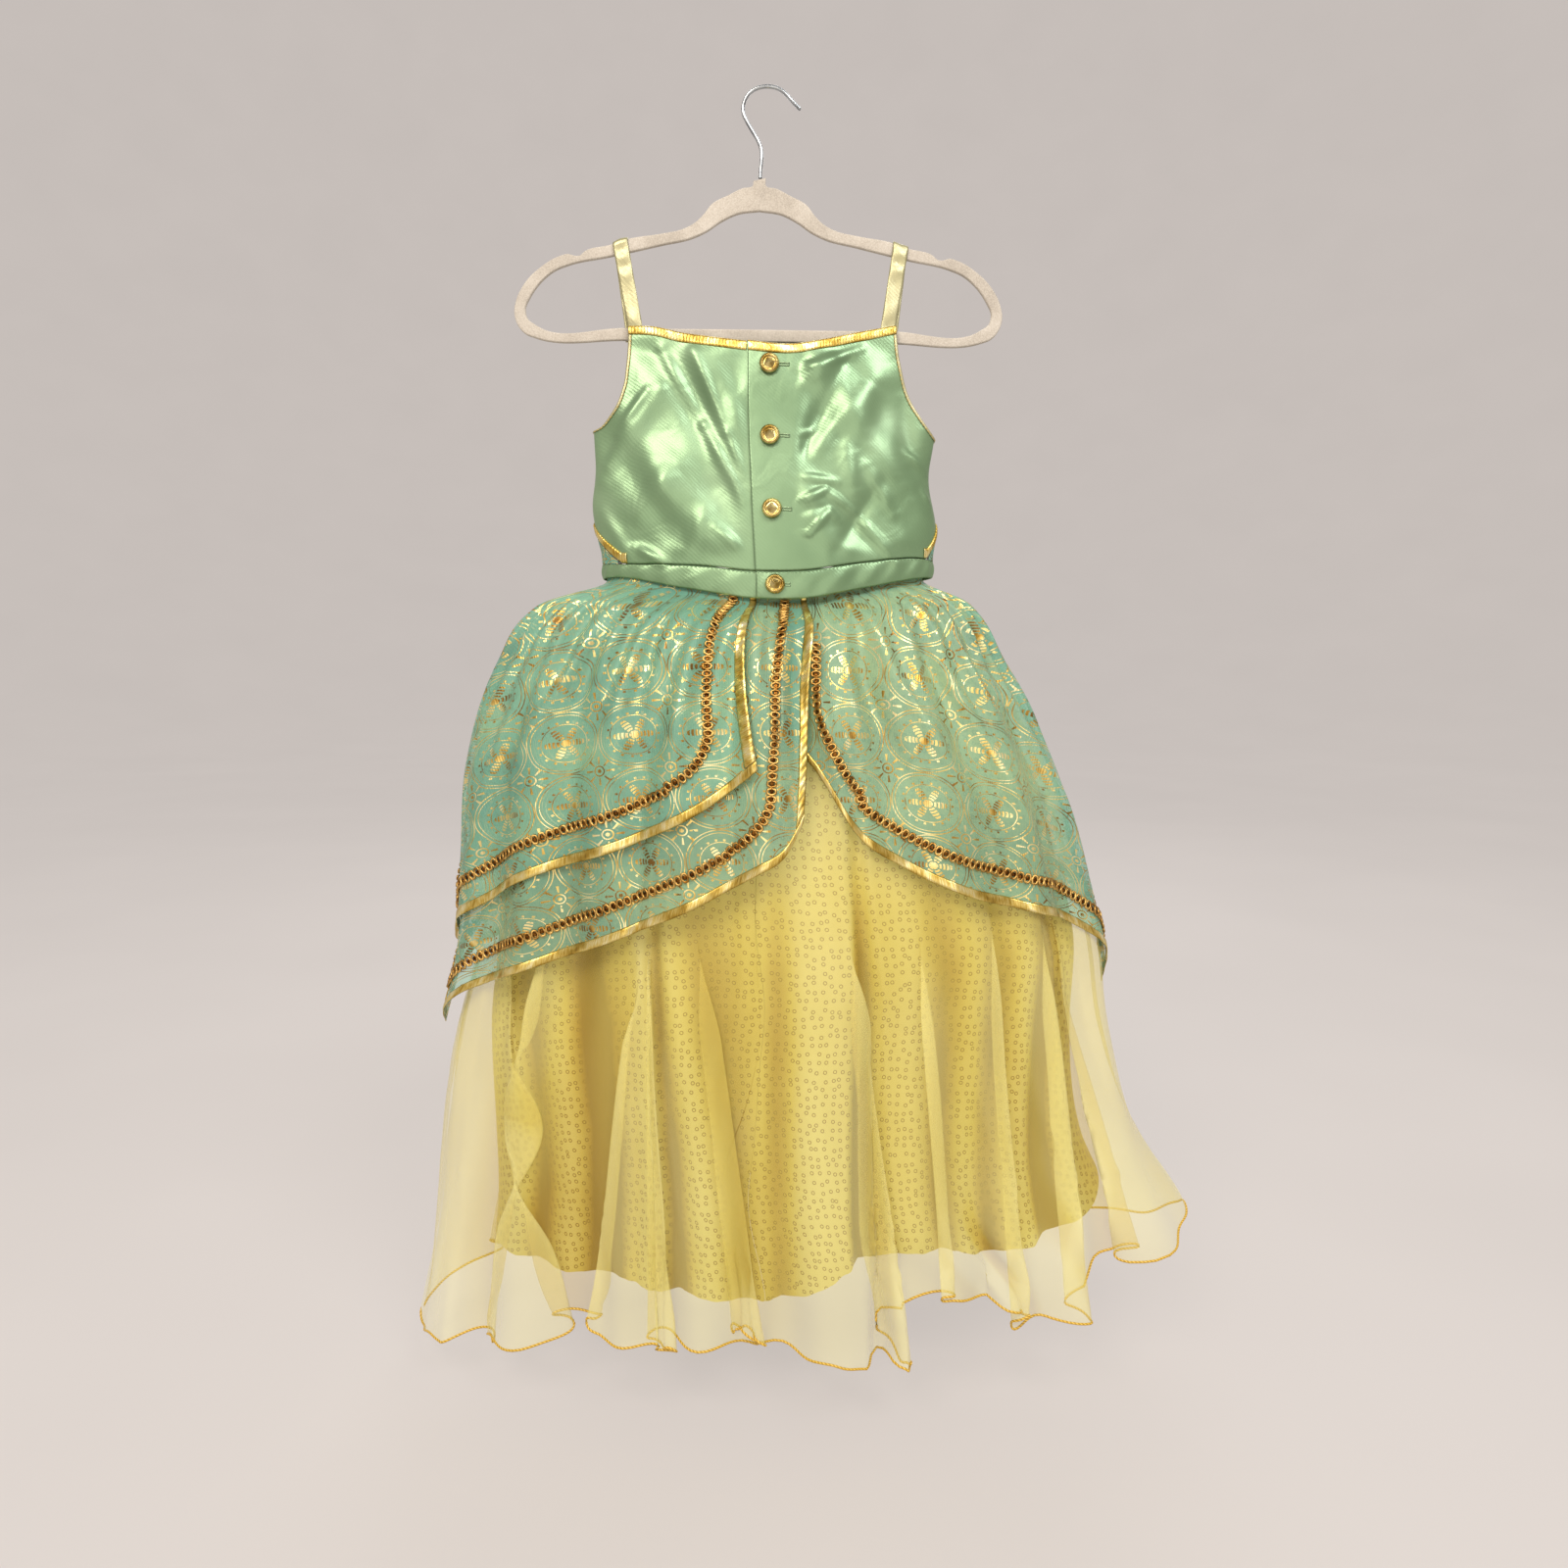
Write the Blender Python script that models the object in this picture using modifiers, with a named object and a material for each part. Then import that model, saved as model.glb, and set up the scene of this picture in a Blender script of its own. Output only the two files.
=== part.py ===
# Princess costume dress on a flocked hanger. Metres, +Z up.
# The origin is the inner top of the hook. The garment's back, with its buttons, faces -Y.
# "turn" runs round the body: 0 is the centre back, 1 and -1 are the sides, 2 and -2 the centre front.
# "drop" is the height below the lower edge of the waistband.
import math

import bmesh
import bpy
import numpy as np

SATIN = 0.0016
SHEER = 0.0012
TRIM = 0.0010
GAP = 0.0003
TAPE_WIDTH = 0.009
BRAID_IN = 0.027
BRAID_OUT = 0.037
STRAP_WIDTH = 0.0135
STRAP_THICK = 0.0012
TUCK = 0.006
BUTTON_RADIUS = 0.0090
WIRE_RADIUS = 0.0017
HANGER_X = -0.0107
HANGER_HALF = 0.0025
HANGER_TILT = 0.012
RUFFLE = 0.006
SEAM_TURN = 0.005
CENTRE_SEAM_TURN = 0.0007
BACK_SEAM_FOLD = 10
FRONT_SEAM_FOLD = 29
DOTTED_RISE = -0.013
DOTTED_SET_IN = 0.004
DOTTED_NARROW = 0.13
TOP_DROPS = np.array([-TUCK, 0.0012, 0.011, 0.030, 0.080])

BODICE_COLUMNS = ("level", "left", "right", "back", "front")
BODICE = (
    (-0.200, -0.1660, 0.1540, 0.0120, 0.0120),
    (-0.250, -0.1660, 0.1530, 0.0200, 0.0160),
    (-0.295, -0.1655, 0.1500, 0.0260, 0.0200),
    (-0.325, -0.1645, 0.1485, 0.0300, 0.0220),
    (-0.360, -0.1655, 0.1500, 0.0340, 0.0240),
    (-0.385, -0.1615, 0.1505, 0.0360, 0.0250),
    (-0.417, -0.1590, 0.1510, 0.0380, 0.0260),
    (-0.460, -0.1585, 0.1505, 0.0400, 0.0280),
)
BAND_COLUMNS = ("turn", "top", "bottom")
BAND = (
    (-2.000, -0.4190, -0.4420),
    (-1.500, -0.4170, -0.4370),
    (-1.000, -0.4165, -0.4305),
    (-0.564, -0.4175, -0.4310),
    (-0.369, -0.4184, -0.4380),
    (-0.258, -0.4195, -0.4418),
    (-0.058, -0.4242, -0.4488),
    (0.128, -0.4242, -0.4494),
    (0.352, -0.4172, -0.4406),
    (0.626, -0.4120, -0.4315),
    (1.000, -0.4145, -0.4290),
    (1.500, -0.4165, -0.4360),
    (2.000, -0.4190, -0.4420),
)
NECK_COLUMNS = ("x", "level")
BACK_NECK = (
    (-0.1295, -0.2040),
    (-0.1074, -0.2049),
    (-0.0814, -0.2106),
    (-0.0507, -0.2150),
    (-0.0222, -0.2185),
    (0.0205, -0.2219),
    (0.0489, -0.2173),
    (0.0774, -0.2106),
    (0.1125, -0.2038),
)
FRONT_NECK = (
    (-0.1295, -0.2040),
    (-0.1000, -0.2090),
    (-0.0600, -0.2230),
    (-0.0080, -0.2310),
    (0.0440, -0.2230),
    (0.0840, -0.2090),
    (0.1125, -0.2038),
)
ARMHOLE_COLUMNS = ("share", "x", "level")
LEFT_ARMHOLE = (
    (0.00, -0.1295, -0.2040),
    (0.22, -0.1320, -0.2409),
    (0.33, -0.1347, -0.2592),
    (0.42, -0.1423, -0.2777),
    (0.48, -0.1545, -0.2905),
    (0.55, -0.1655, -0.2955),
)
RIGHT_ARMHOLE = (
    (0.00, 0.1125, -0.2038),
    (0.20, 0.1171, -0.2386),
    (0.33, 0.1257, -0.2660),
    (0.44, 0.1380, -0.2868),
    (0.55, 0.1500, -0.3030),
)
PLACKET_COLUMNS = ("level", "edge")
PLACKET = (
    (-0.215, -0.0213),
    (-0.304, -0.0205),
    (-0.369, -0.0180),
    (-0.450, -0.0137),
)
UNDERLAP = 0.026
LAP_MIDDLE = 0.003
LAP_HALF = 0.028
LAP_GAP = 0.0008
SIDE_INSET = {"level": -0.387, "left": -0.66, "right": 0.80}
CREASE_COLUMNS = ("x1", "level1", "x2", "level2", "width", "height")
CREASES = (
    (-0.107, -0.212, -0.022, -0.365, 0.009, 0.0028),
    (-0.078, -0.215, -0.042, -0.340, 0.008, 0.0022),
    (-0.099, -0.257, -0.157, -0.340, 0.010, 0.0024),
    (-0.128, -0.400, -0.100, -0.414, 0.008, 0.0022),
    (0.074, -0.236, 0.016, -0.285, 0.010, -0.0022),
    (0.095, -0.245, 0.060, -0.330, 0.012, 0.0026),
    (0.018, -0.360, 0.066, -0.352, 0.006, 0.0022),
    (0.025, -0.392, 0.054, -0.372, 0.006, -0.0020),
    (0.066, -0.365, 0.112, -0.412, 0.007, 0.0020),
)
SKIRT_COLUMNS = ("drop", "left", "right", "back", "front")
SKIRT = (
    (-0.020, -0.1580, 0.1500, 0.0378, 0.0260),
    (0.0005, -0.1580, 0.1500, 0.0378, 0.0260),
    (0.0015, -0.1580, 0.1500, 0.0378, 0.0260),
    (0.004, -0.1588, 0.1508, 0.0384, 0.0266),
    (0.014, -0.1750, 0.1620, 0.0475, 0.0330),
    (0.035, -0.2030, 0.1830, 0.0640, 0.0380),
    (0.075, -0.2280, 0.2050, 0.0800, 0.0420),
    (0.120, -0.2490, 0.2320, 0.0930, 0.0450),
    (0.180, -0.2660, 0.2600, 0.1040, 0.0470),
    (0.260, -0.2740, 0.2850, 0.1110, 0.0480),
    (0.340, -0.2830, 0.3100, 0.1170, 0.0480),
    (0.430, -0.3080, 0.3240, 0.1220, 0.0480),
    (0.540, -0.3260, 0.3620, 0.1270, 0.0490),
    (0.620, -0.3340, 0.4120, 0.1310, 0.0500),
    (0.750, -0.3580, 0.4300, 0.1360, 0.0500),
)
HEM_COLUMNS = ("turn", "level")
ORGANZA_HEM = (
    (-2.000, -1.092),
    (-1.500, -1.100),
    (-1.120, -1.140),
    (-1.000, -1.165),
    (-0.636, -1.146),
    (-0.504, -1.139),
    (-0.358, -1.104),
    (-0.290, -1.122),
    (-0.158, -1.116),
    (-0.078, -1.108),
    (0.020, -1.127),
    (0.118, -1.123),
    (0.165, -1.080),
    (0.220, -1.066),
    (0.300, -1.096),
    (0.414, -1.104),
    (0.500, -1.064),
    (0.640, -1.062),
    (1.000, -1.052),
    (1.500, -1.086),
    (2.000, -1.092),
)
DOTTED_HEM = (
    (-2.000, -1.030),
    (-1.000, -1.070),
    (-0.400, -1.076),
    (0.000, -1.076),
    (0.130, -1.046),
    (0.400, -1.050),
    (1.000, -1.005),
    (2.000, -1.030),
)
# Crests (out > 0) and valleys (out < 0) of the outer skirt: x at drop 0.34 and at the hem.
FOLD_COLUMNS = ("high", "low", "out")
BACK_FOLDS = (
    (-0.262, -0.310, 0.012),
    (-0.246, -0.276, -0.006),
    (-0.215, -0.237, 0.010),
    (-0.180, -0.192, -0.014),
    (-0.140, -0.160, 0.003),
    (-0.124, -0.134, 0.016),
    (-0.112, -0.106, -0.008),
    (-0.096, -0.066, 0.014),
    (-0.066, -0.030, -0.006),
    (-0.012, -0.012, 0.005),
    (0.004, 0.008, -0.003),
    (0.036, 0.052, 0.018),
    (0.074, 0.087, 0.012),
    (0.086, 0.099, -0.018),
    (0.100, 0.120, 0.006),
    (0.132, 0.172, 0.012),
    (0.165, 0.204, -0.008),
    (0.196, 0.222, 0.008),
    (0.222, 0.252, -0.005),
    (0.250, 0.296, 0.014),
    (0.272, 0.326, -0.012),
    (0.292, 0.376, 0.010),
)
FRONT_FOLDS = (
    (0.270, 0.340, 0.009),
    (0.225, 0.270, -0.009),
    (0.165, 0.200, 0.010),
    (0.110, 0.130, -0.010),
    (0.050, 0.060, 0.011),
    (-0.010, -0.010, -0.009),
    (-0.070, -0.085, 0.012),
    (-0.130, -0.155, -0.010),
    (-0.190, -0.220, 0.010),
    (-0.245, -0.290, -0.008),
)
# Lower edges of the overskirt tiers, from the back edge round the side to the front edge.
EDGE_COLUMNS = ("turn", "drop")
TIERS = {
    "left_upper": {
        "top": (-0.045, -1.80), "rise": 0.0265, "share": 0.45,
        "edge": ((-0.010, 0.146), (-0.109, 0.180), (-0.252, 0.217), (-0.461, 0.254), (-0.766, 0.312),
                 (-1.000, 0.336), (-1.090, 0.285), (-1.300, 0.262), (-1.550, 0.225), (-1.800, 0.150)),
    },
    "left_lower": {
        "top": (0.160, -1.96), "rise": 0.0195, "share": 0.55,
        "edge": ((0.067, 0.192), (0.020, 0.222), (-0.030, 0.236), (-0.196, 0.280), (-0.410, 0.326),
                 (-0.690, 0.376), (-1.000, 0.416), (-1.090, 0.370), (-1.300, 0.345), (-1.600, 0.300),
                 (-1.960, 0.215)),
    },
    "right": {
        "top": (0.080, 1.96), "covered": True, "rise": 0.0100, "share": 0.65,
        "edge": ((0.040, 0.120), (0.104, 0.146), (0.179, 0.210), (0.255, 0.238), (0.394, 0.273),
                 (0.525, 0.293), (0.692, 0.315), (0.845, 0.345), (1.000, 0.388), (1.090, 0.335),
                 (1.300, 0.300), (1.600, 0.260), (1.960, 0.190)),
    },
}
BUTTON_COLUMNS = ("x", "level")
BUTTONS = (
    (-0.0019, -0.2404),
    (-0.0015, -0.3040),
    (0.0003, -0.3693),
    (0.0031, -0.4365),
)
STRAPS = {
    "left": {"top": -0.1364, "base": -0.1236, "front": -0.1275},
    "right": {"top": 0.1166, "base": 0.1056, "front": 0.1090},
}
HANGER_COLUMNS = ("across", "level")
HANGER_OUTER = (
    (0.0058, -0.0750), (0.0058, -0.0815), (0.0154, -0.0839), (0.0275, -0.0897), (0.0428, -0.0976),
    (0.0505, -0.1069), (0.0597, -0.1148), (0.0689, -0.1192), (0.0888, -0.1235), (0.1195, -0.1286),
    (0.1348, -0.1336), (0.1579, -0.1395), (0.1625, -0.1432), (0.1675, -0.1432), (0.1720, -0.1418),
    (0.1809, -0.1439), (0.1966, -0.1526), (0.2123, -0.1672), (0.2204, -0.1819), (0.2225, -0.1936),
    (0.2196, -0.2040), (0.2121, -0.2121), (0.2044, -0.2150), (0.1226, -0.2165),
)
HANGER_INNER = (
    (0.0000, -0.1033), (0.0200, -0.1062), (0.0353, -0.1134), (0.0475, -0.1214), (0.0583, -0.1264),
    (0.0889, -0.1336), (0.1351, -0.1439), (0.1735, -0.1519), (0.1844, -0.1562), (0.1969, -0.1657),
    (0.2080, -0.1804), (0.2121, -0.1892), (0.2105, -0.1980), (0.2026, -0.2040), (0.1224, -0.2055),
)
HOOK_COLUMNS = ("x", "level")
HOOK = (
    (-0.0101, -0.0748), (-0.0101, -0.0474), (-0.0119, -0.0433), (-0.0166, -0.0358), (-0.0216, -0.0276),
    (-0.0248, -0.0208), (-0.0253, -0.0154), (-0.0237, -0.0098), (-0.0201, -0.0040), (-0.0143, 0.0000),
    (-0.0070, 0.0020), (0.0000, 0.0020), (0.0062, 0.0004), (0.0117, -0.0030), (0.0161, -0.0074),
    (0.0205, -0.0119), (0.0241, -0.0153), (0.0263, -0.0175),
)


def clear_scene():
    for item in list(bpy.data.objects):
        bpy.data.objects.remove(item, do_unlink=True)


def column(rows, columns, name):
    return np.array([row[columns.index(name)] for row in rows], dtype=float)


def curve(at, knots, values):
    # A cubic through the knots, with the slope at each knot from its two neighbours.
    at = np.clip(at, knots[0], knots[-1])
    slopes = np.gradient(values, knots)
    index = np.clip(np.searchsorted(knots, at, side="right") - 1, 0, len(knots) - 2)
    span = knots[index + 1] - knots[index]
    t = (at - knots[index]) / span
    return ((1 + 2 * t) * (1 - t) ** 2 * values[index] + t * (1 - t) ** 2 * span * slopes[index]
            + t * t * (3 - 2 * t) * values[index + 1] + t * t * (t - 1) * span * slopes[index + 1])


def smooth(t):
    t = np.clip(t, 0, 1)
    return t * t * (3 - 2 * t)


def wrap(turn):
    return (np.asarray(turn) + 2) % 4 - 2


def ring(turn, left, right, back, front):
    # A point of the oval ring and the ring's outward direction there, as x and y.
    side, depth = np.sin(math.pi * turn / 2), np.cos(math.pi * turn / 2)
    half = (right - left) / 2
    deep = np.where(depth > 0, back, front)
    x, y = (left + right) / 2 + half * side, -deep * depth
    nx, ny = side / half, -depth / deep
    size = np.hypot(nx, ny)
    return x, y, nx / size, ny / size


def sizes_at(rows, columns, at):
    knots = column(rows, columns, columns[0])[::-1]
    flip = 1 if knots[0] < knots[-1] else -1
    knots = knots[::flip]
    return [curve(at, knots, column(rows, columns, name)[::-1][::flip]) for name in columns[1:]]


def band_edge(turn, name):
    return curve(wrap(turn), column(BAND, BAND_COLUMNS, "turn"), column(BAND, BAND_COLUMNS, name))


def crease_height(x, level):
    total = np.zeros_like(x)
    for x1, level1, x2, level2, width, height in CREASES:
        along = np.array([x2 - x1, level2 - level1])
        share = ((x - x1) * along[0] + (level - level1) * along[1]) / along.dot(along)
        share = np.clip(share, 0, 1)
        away = np.hypot(x - x1 - share * along[0], level - level1 - share * along[1])
        total = total + height * np.exp(-(away / width) ** 2)
    return total * smooth((np.abs(x - LAP_MIDDLE) - LAP_HALF) / 0.02)


def bodice(turn, level):
    left, right, back, front = sizes_at(BODICE, BODICE_COLUMNS, level)
    x, y, nx, ny = ring(turn, left, right, back, front)
    out = crease_height(x, level) * smooth(3 * np.cos(math.pi * turn / 2))
    return np.stack([x + out * nx, y + out * ny, level], -1)


def turn_of(x, level):
    left, right, _, _ = sizes_at(BODICE, BODICE_COLUMNS, np.asarray(level, dtype=float))
    return np.arcsin(np.clip((x - (left + right) / 2) * 2 / (right - left), -1, 1)) * 2 / math.pi


def lap(turn, level):
    # The right back panel and its trims lie over the left panel's underlap.
    x = bodice(turn, level)[..., 0]
    return (SATIN + LAP_GAP) * (1 - smooth((x - UNDERLAP - 0.018) / 0.04))


def skirt_ring(drop):
    return sizes_at(SKIRT, SKIRT_COLUMNS, drop)


def fold_stations(drop):
    # The turn of each crest and valley at one drop, and how far each one stands out there.
    left, right, _, _ = skirt_ring(np.array([drop]))
    middle, half = (left[0] + right[0]) / 2, (right[0] - left[0]) / 2
    share = np.clip((drop - 0.34) / 0.33, -0.3, 1)
    turns, outs = [-1.0], [0.0]
    for rows, front in ((BACK_FOLDS, False), (FRONT_FOLDS, True)):
        for high, low, out in rows:
            squeeze = half / (0.296 if share < 0 else 0.296 + 0.095 * share)
            x = (high + (low - high) * share) * min(1.0, squeeze)
            turn = math.asin(max(-0.985, min(0.985, (x - middle) / half))) * 2 / math.pi
            turns.append(2 - turn if front else turn)
            outs.append(out * float(smooth(drop / 0.75) * 0.5 + 0.5 * min(1, max(0, drop) / 0.7)))
        turns.append(3.0 if front else 1.0)
        outs.append(0.0)
    return np.array(turns), np.array(outs)


def fold_height(turn, drop):
    # Soft crests and valleys between the stations, worked out row by row.
    turn, drop = np.broadcast_arrays(np.asarray(turn, float), np.asarray(drop, float))
    result = np.zeros(turn.shape)
    flat_turn, flat_drop, flat = (turn.ravel() + 1) % 4 - 1, drop.ravel(), result.ravel()
    levels = np.linspace(-0.02, 0.76, 40)
    heights = []
    for level in levels:
        turns, outs = fold_stations(level)
        index = np.clip(np.searchsorted(turns, flat_turn, side="right") - 1, 0, len(turns) - 2)
        t = smooth((flat_turn - turns[index]) / (turns[index + 1] - turns[index]))
        heights.append(outs[index] * (1 - t) + outs[index + 1] * t)
    heights = np.array(heights)
    place = np.clip((flat_drop + 0.02) / 0.78, 0, 1) * (len(levels) - 1)
    low = np.minimum(place.astype(int), len(levels) - 2)
    pick = np.arange(len(flat_turn))
    flat[:] = heights[low, pick] * (1 - place + low) + heights[low + 1, pick] * (place - low)
    return result


def skirt(turn, drop, rise, share, gathers, narrow=0.0):
    # rise is the distance outside the organza skirt well below the waist. narrow draws the sides in at the hem.
    left, right, back, front = skirt_ring(drop)
    grow = rise(drop)
    drawn = narrow * smooth((drop - 0.28) / 0.34)
    x, y, nx, ny = ring(turn, (left - grow) * (1 - drawn), (right + grow) * (1 - drawn), back + grow, front + grow)
    out = share * fold_height(turn, drop)
    if gathers:
        wave = np.cos(2 * math.pi * 4.5 * turn + 2.2 * np.sin(3.1 * turn))
        out = out + gathers * wave * smooth((drop - 0.012) / 0.05) * (1 - smooth((drop - 0.05) / 0.15))
        broad = np.cos(2 * math.pi * 1.4 * turn + 1.0 + 1.7 * np.sin(2.3 * turn))
        out = out + 1.3 * gathers * broad * smooth((drop - 0.05) / 0.2)
    level = band_edge(turn, "bottom") - drop
    return np.stack([x + out * nx, y + out * ny, level], -1)


def rise_from(tucked, low):
    return lambda drop: tucked + (low - tucked) * smooth((drop - 0.001) / 0.024)


def normals(surface, a, b):
    step = 2e-4
    across = surface(a + step, b) - surface(a - step, b)
    down = surface(a, b + step) - surface(a, b - step)
    cross = np.cross(down, across)
    away = cross[..., 0] * np.sin(math.pi * a / 2) - cross[..., 1] * np.cos(math.pi * a / 2)
    cross = cross * np.where(away < 0, -1.0, 1.0)[..., None]
    return cross / np.linalg.norm(cross, axis=-1, keepdims=True)


def material(name, colour, roughness, metallic=0.0, alpha=1.0):
    made = bpy.data.materials.get(name) or bpy.data.materials.new(name)
    made.use_nodes = True
    shader = made.node_tree.nodes["Principled BSDF"]
    shader.inputs["Base Color"].default_value = (*colour, 1.0)
    shader.inputs["Roughness"].default_value = roughness
    shader.inputs["Metallic"].default_value = metallic
    shader.inputs["Alpha"].default_value = alpha
    return made


def add_mesh(name, vertices, faces, look):
    mesh = bpy.data.meshes.new(name)
    mesh.from_pydata([tuple(float(c) for c in v) for v in vertices], [], faces)
    shape = bmesh.new()
    shape.from_mesh(mesh)
    bmesh.ops.recalc_face_normals(shape, faces=shape.faces[:])
    if shape.calc_volume(signed=True) < 0:
        bmesh.ops.reverse_faces(shape, faces=shape.faces[:])
    shape.to_mesh(mesh)
    shape.free()
    mesh.materials.append(material(name, *look))
    made = bpy.data.objects.new(name, mesh)
    bpy.data.collections["dress_on_hanger"].objects.link(made)
    return made


def shell(name, points, outward, low, high, look, cells=None):
    # A closed wall between two heights over a grid of points. cells says which squares it covers.
    rows, cols = points.shape[:2]
    cells = np.ones((rows - 1, cols - 1), bool) if cells is None else cells
    low = np.broadcast_to(low, (rows, cols))[..., None]
    high = np.broadcast_to(high, (rows, cols))[..., None]
    both = np.concatenate([(points + outward * high).reshape(-1, 3),
                           (points + outward * low).reshape(-1, 3)])
    count = rows * cols
    faces = []
    for i, j in zip(*np.nonzero(cells)):
        a, b, c, d = i * cols + j, i * cols + j + 1, (i + 1) * cols + j + 1, (i + 1) * cols + j
        slant = (i + j) % 2 == 0
        for p, q, r in (((a, b, c), (a, c, d)) if slant else ((a, b, d), (b, c, d))):
            faces += [(p, q, r), (p + count, r + count, q + count)]
        for p, q, free in ((a, b, i == 0 or not cells[i - 1, j]),
                           (b, c, j == cols - 2 or not cells[i, j + 1]),
                           (c, d, i == rows - 2 or not cells[i + 1, j]),
                           (d, a, j == 0 or not cells[i, j - 1])):
            if free:
                faces += [(q, p, p + count), (q, p + count, q + count)]
    used = sorted({v for face in faces for v in face})
    place = {v: k for k, v in enumerate(used)}
    return add_mesh(name, both[used], [tuple(place[v] for v in face) for face in faces], look)


def polyline(rows, columns, share):
    # Points of a table at shares of its own length.
    first, second = column(rows, columns, columns[0]), column(rows, columns, columns[1])
    length = np.concatenate([[0], np.cumsum(np.hypot(np.diff(first), np.diff(second)))])
    at = share * length[-1]
    return np.interp(at, length, first), np.interp(at, length, second)


MINT = ((0.36, 0.55, 0.30), 0.30)
PRINT = ((0.36, 0.52, 0.34), 0.35)
TAPE = ((0.66, 0.46, 0.12), 0.30, 0.8)
BRAID = ((0.48, 0.17, 0.02), 0.35, 0.5)
ORGANZA = ((0.74, 0.60, 0.18), 0.45, 0.0, 0.75)
DOTTED = ((0.66, 0.48, 0.10), 0.55)
STRAP = ((0.80, 0.76, 0.42), 0.35)
GOLD = ((0.75, 0.55, 0.20), 0.22, 1.0)
FLOCK = ((0.60, 0.52, 0.45), 0.95)
STEEL = ((0.62, 0.62, 0.60), 0.25, 1.0)


def placket_x(level, over):
    edge = curve(-level, -column(PLACKET, PLACKET_COLUMNS, "level"), column(PLACKET, PLACKET_COLUMNS, "edge"))
    return edge if over else np.full_like(edge, UNDERLAP)


def armhole_side(v, rows, side):
    # Down the armhole to the underarm, then down the side seam to the top of the inset.
    x = curve(v, column(rows, ARMHOLE_COLUMNS, "share"), column(rows, ARMHOLE_COLUMNS, "x"))
    level = curve(v, column(rows, ARMHOLE_COLUMNS, "share"), column(rows, ARMHOLE_COLUMNS, "level"))
    seam = (v - 0.55) / 0.45
    level = np.where(v > 0.55, rows[-1][2] + (SIDE_INSET["level"] - rows[-1][2]) * seam, level)
    turn = np.where(v >= 0.55, side * 1.0, turn_of(x, level))
    return turn, level


def bodice_bottom(turn):
    # The waist seam, cut away over the side insets.
    waist = band_edge(turn, "top") + GAP
    back = np.where(np.abs(wrap(turn)) > 1, np.sign(wrap(turn)) * 2 - wrap(turn), wrap(turn))
    reach = np.where(back < 0, -SIDE_INSET["left"], SIDE_INSET["right"])
    rise = np.clip((np.abs(back) - reach) / (1 - reach), 0, 1)
    return waist + (SIDE_INSET["level"] - waist) * rise


def coons(u, v, top, bottom, left, right):
    pick = [np.array(part) for part in (top(u), bottom(u), left(v), right(v))]
    corners = [np.array(part) for part in (top(0 * u), top(0 * u + 1), bottom(0 * u), bottom(0 * u + 1))]
    return ((1 - v) * pick[0] + v * pick[1] + (1 - u) * pick[2] + u * pick[3]
            - (1 - u) * (1 - v) * corners[0] - u * (1 - v) * corners[1]
            - (1 - u) * v * corners[2] - u * v * corners[3])


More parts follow.
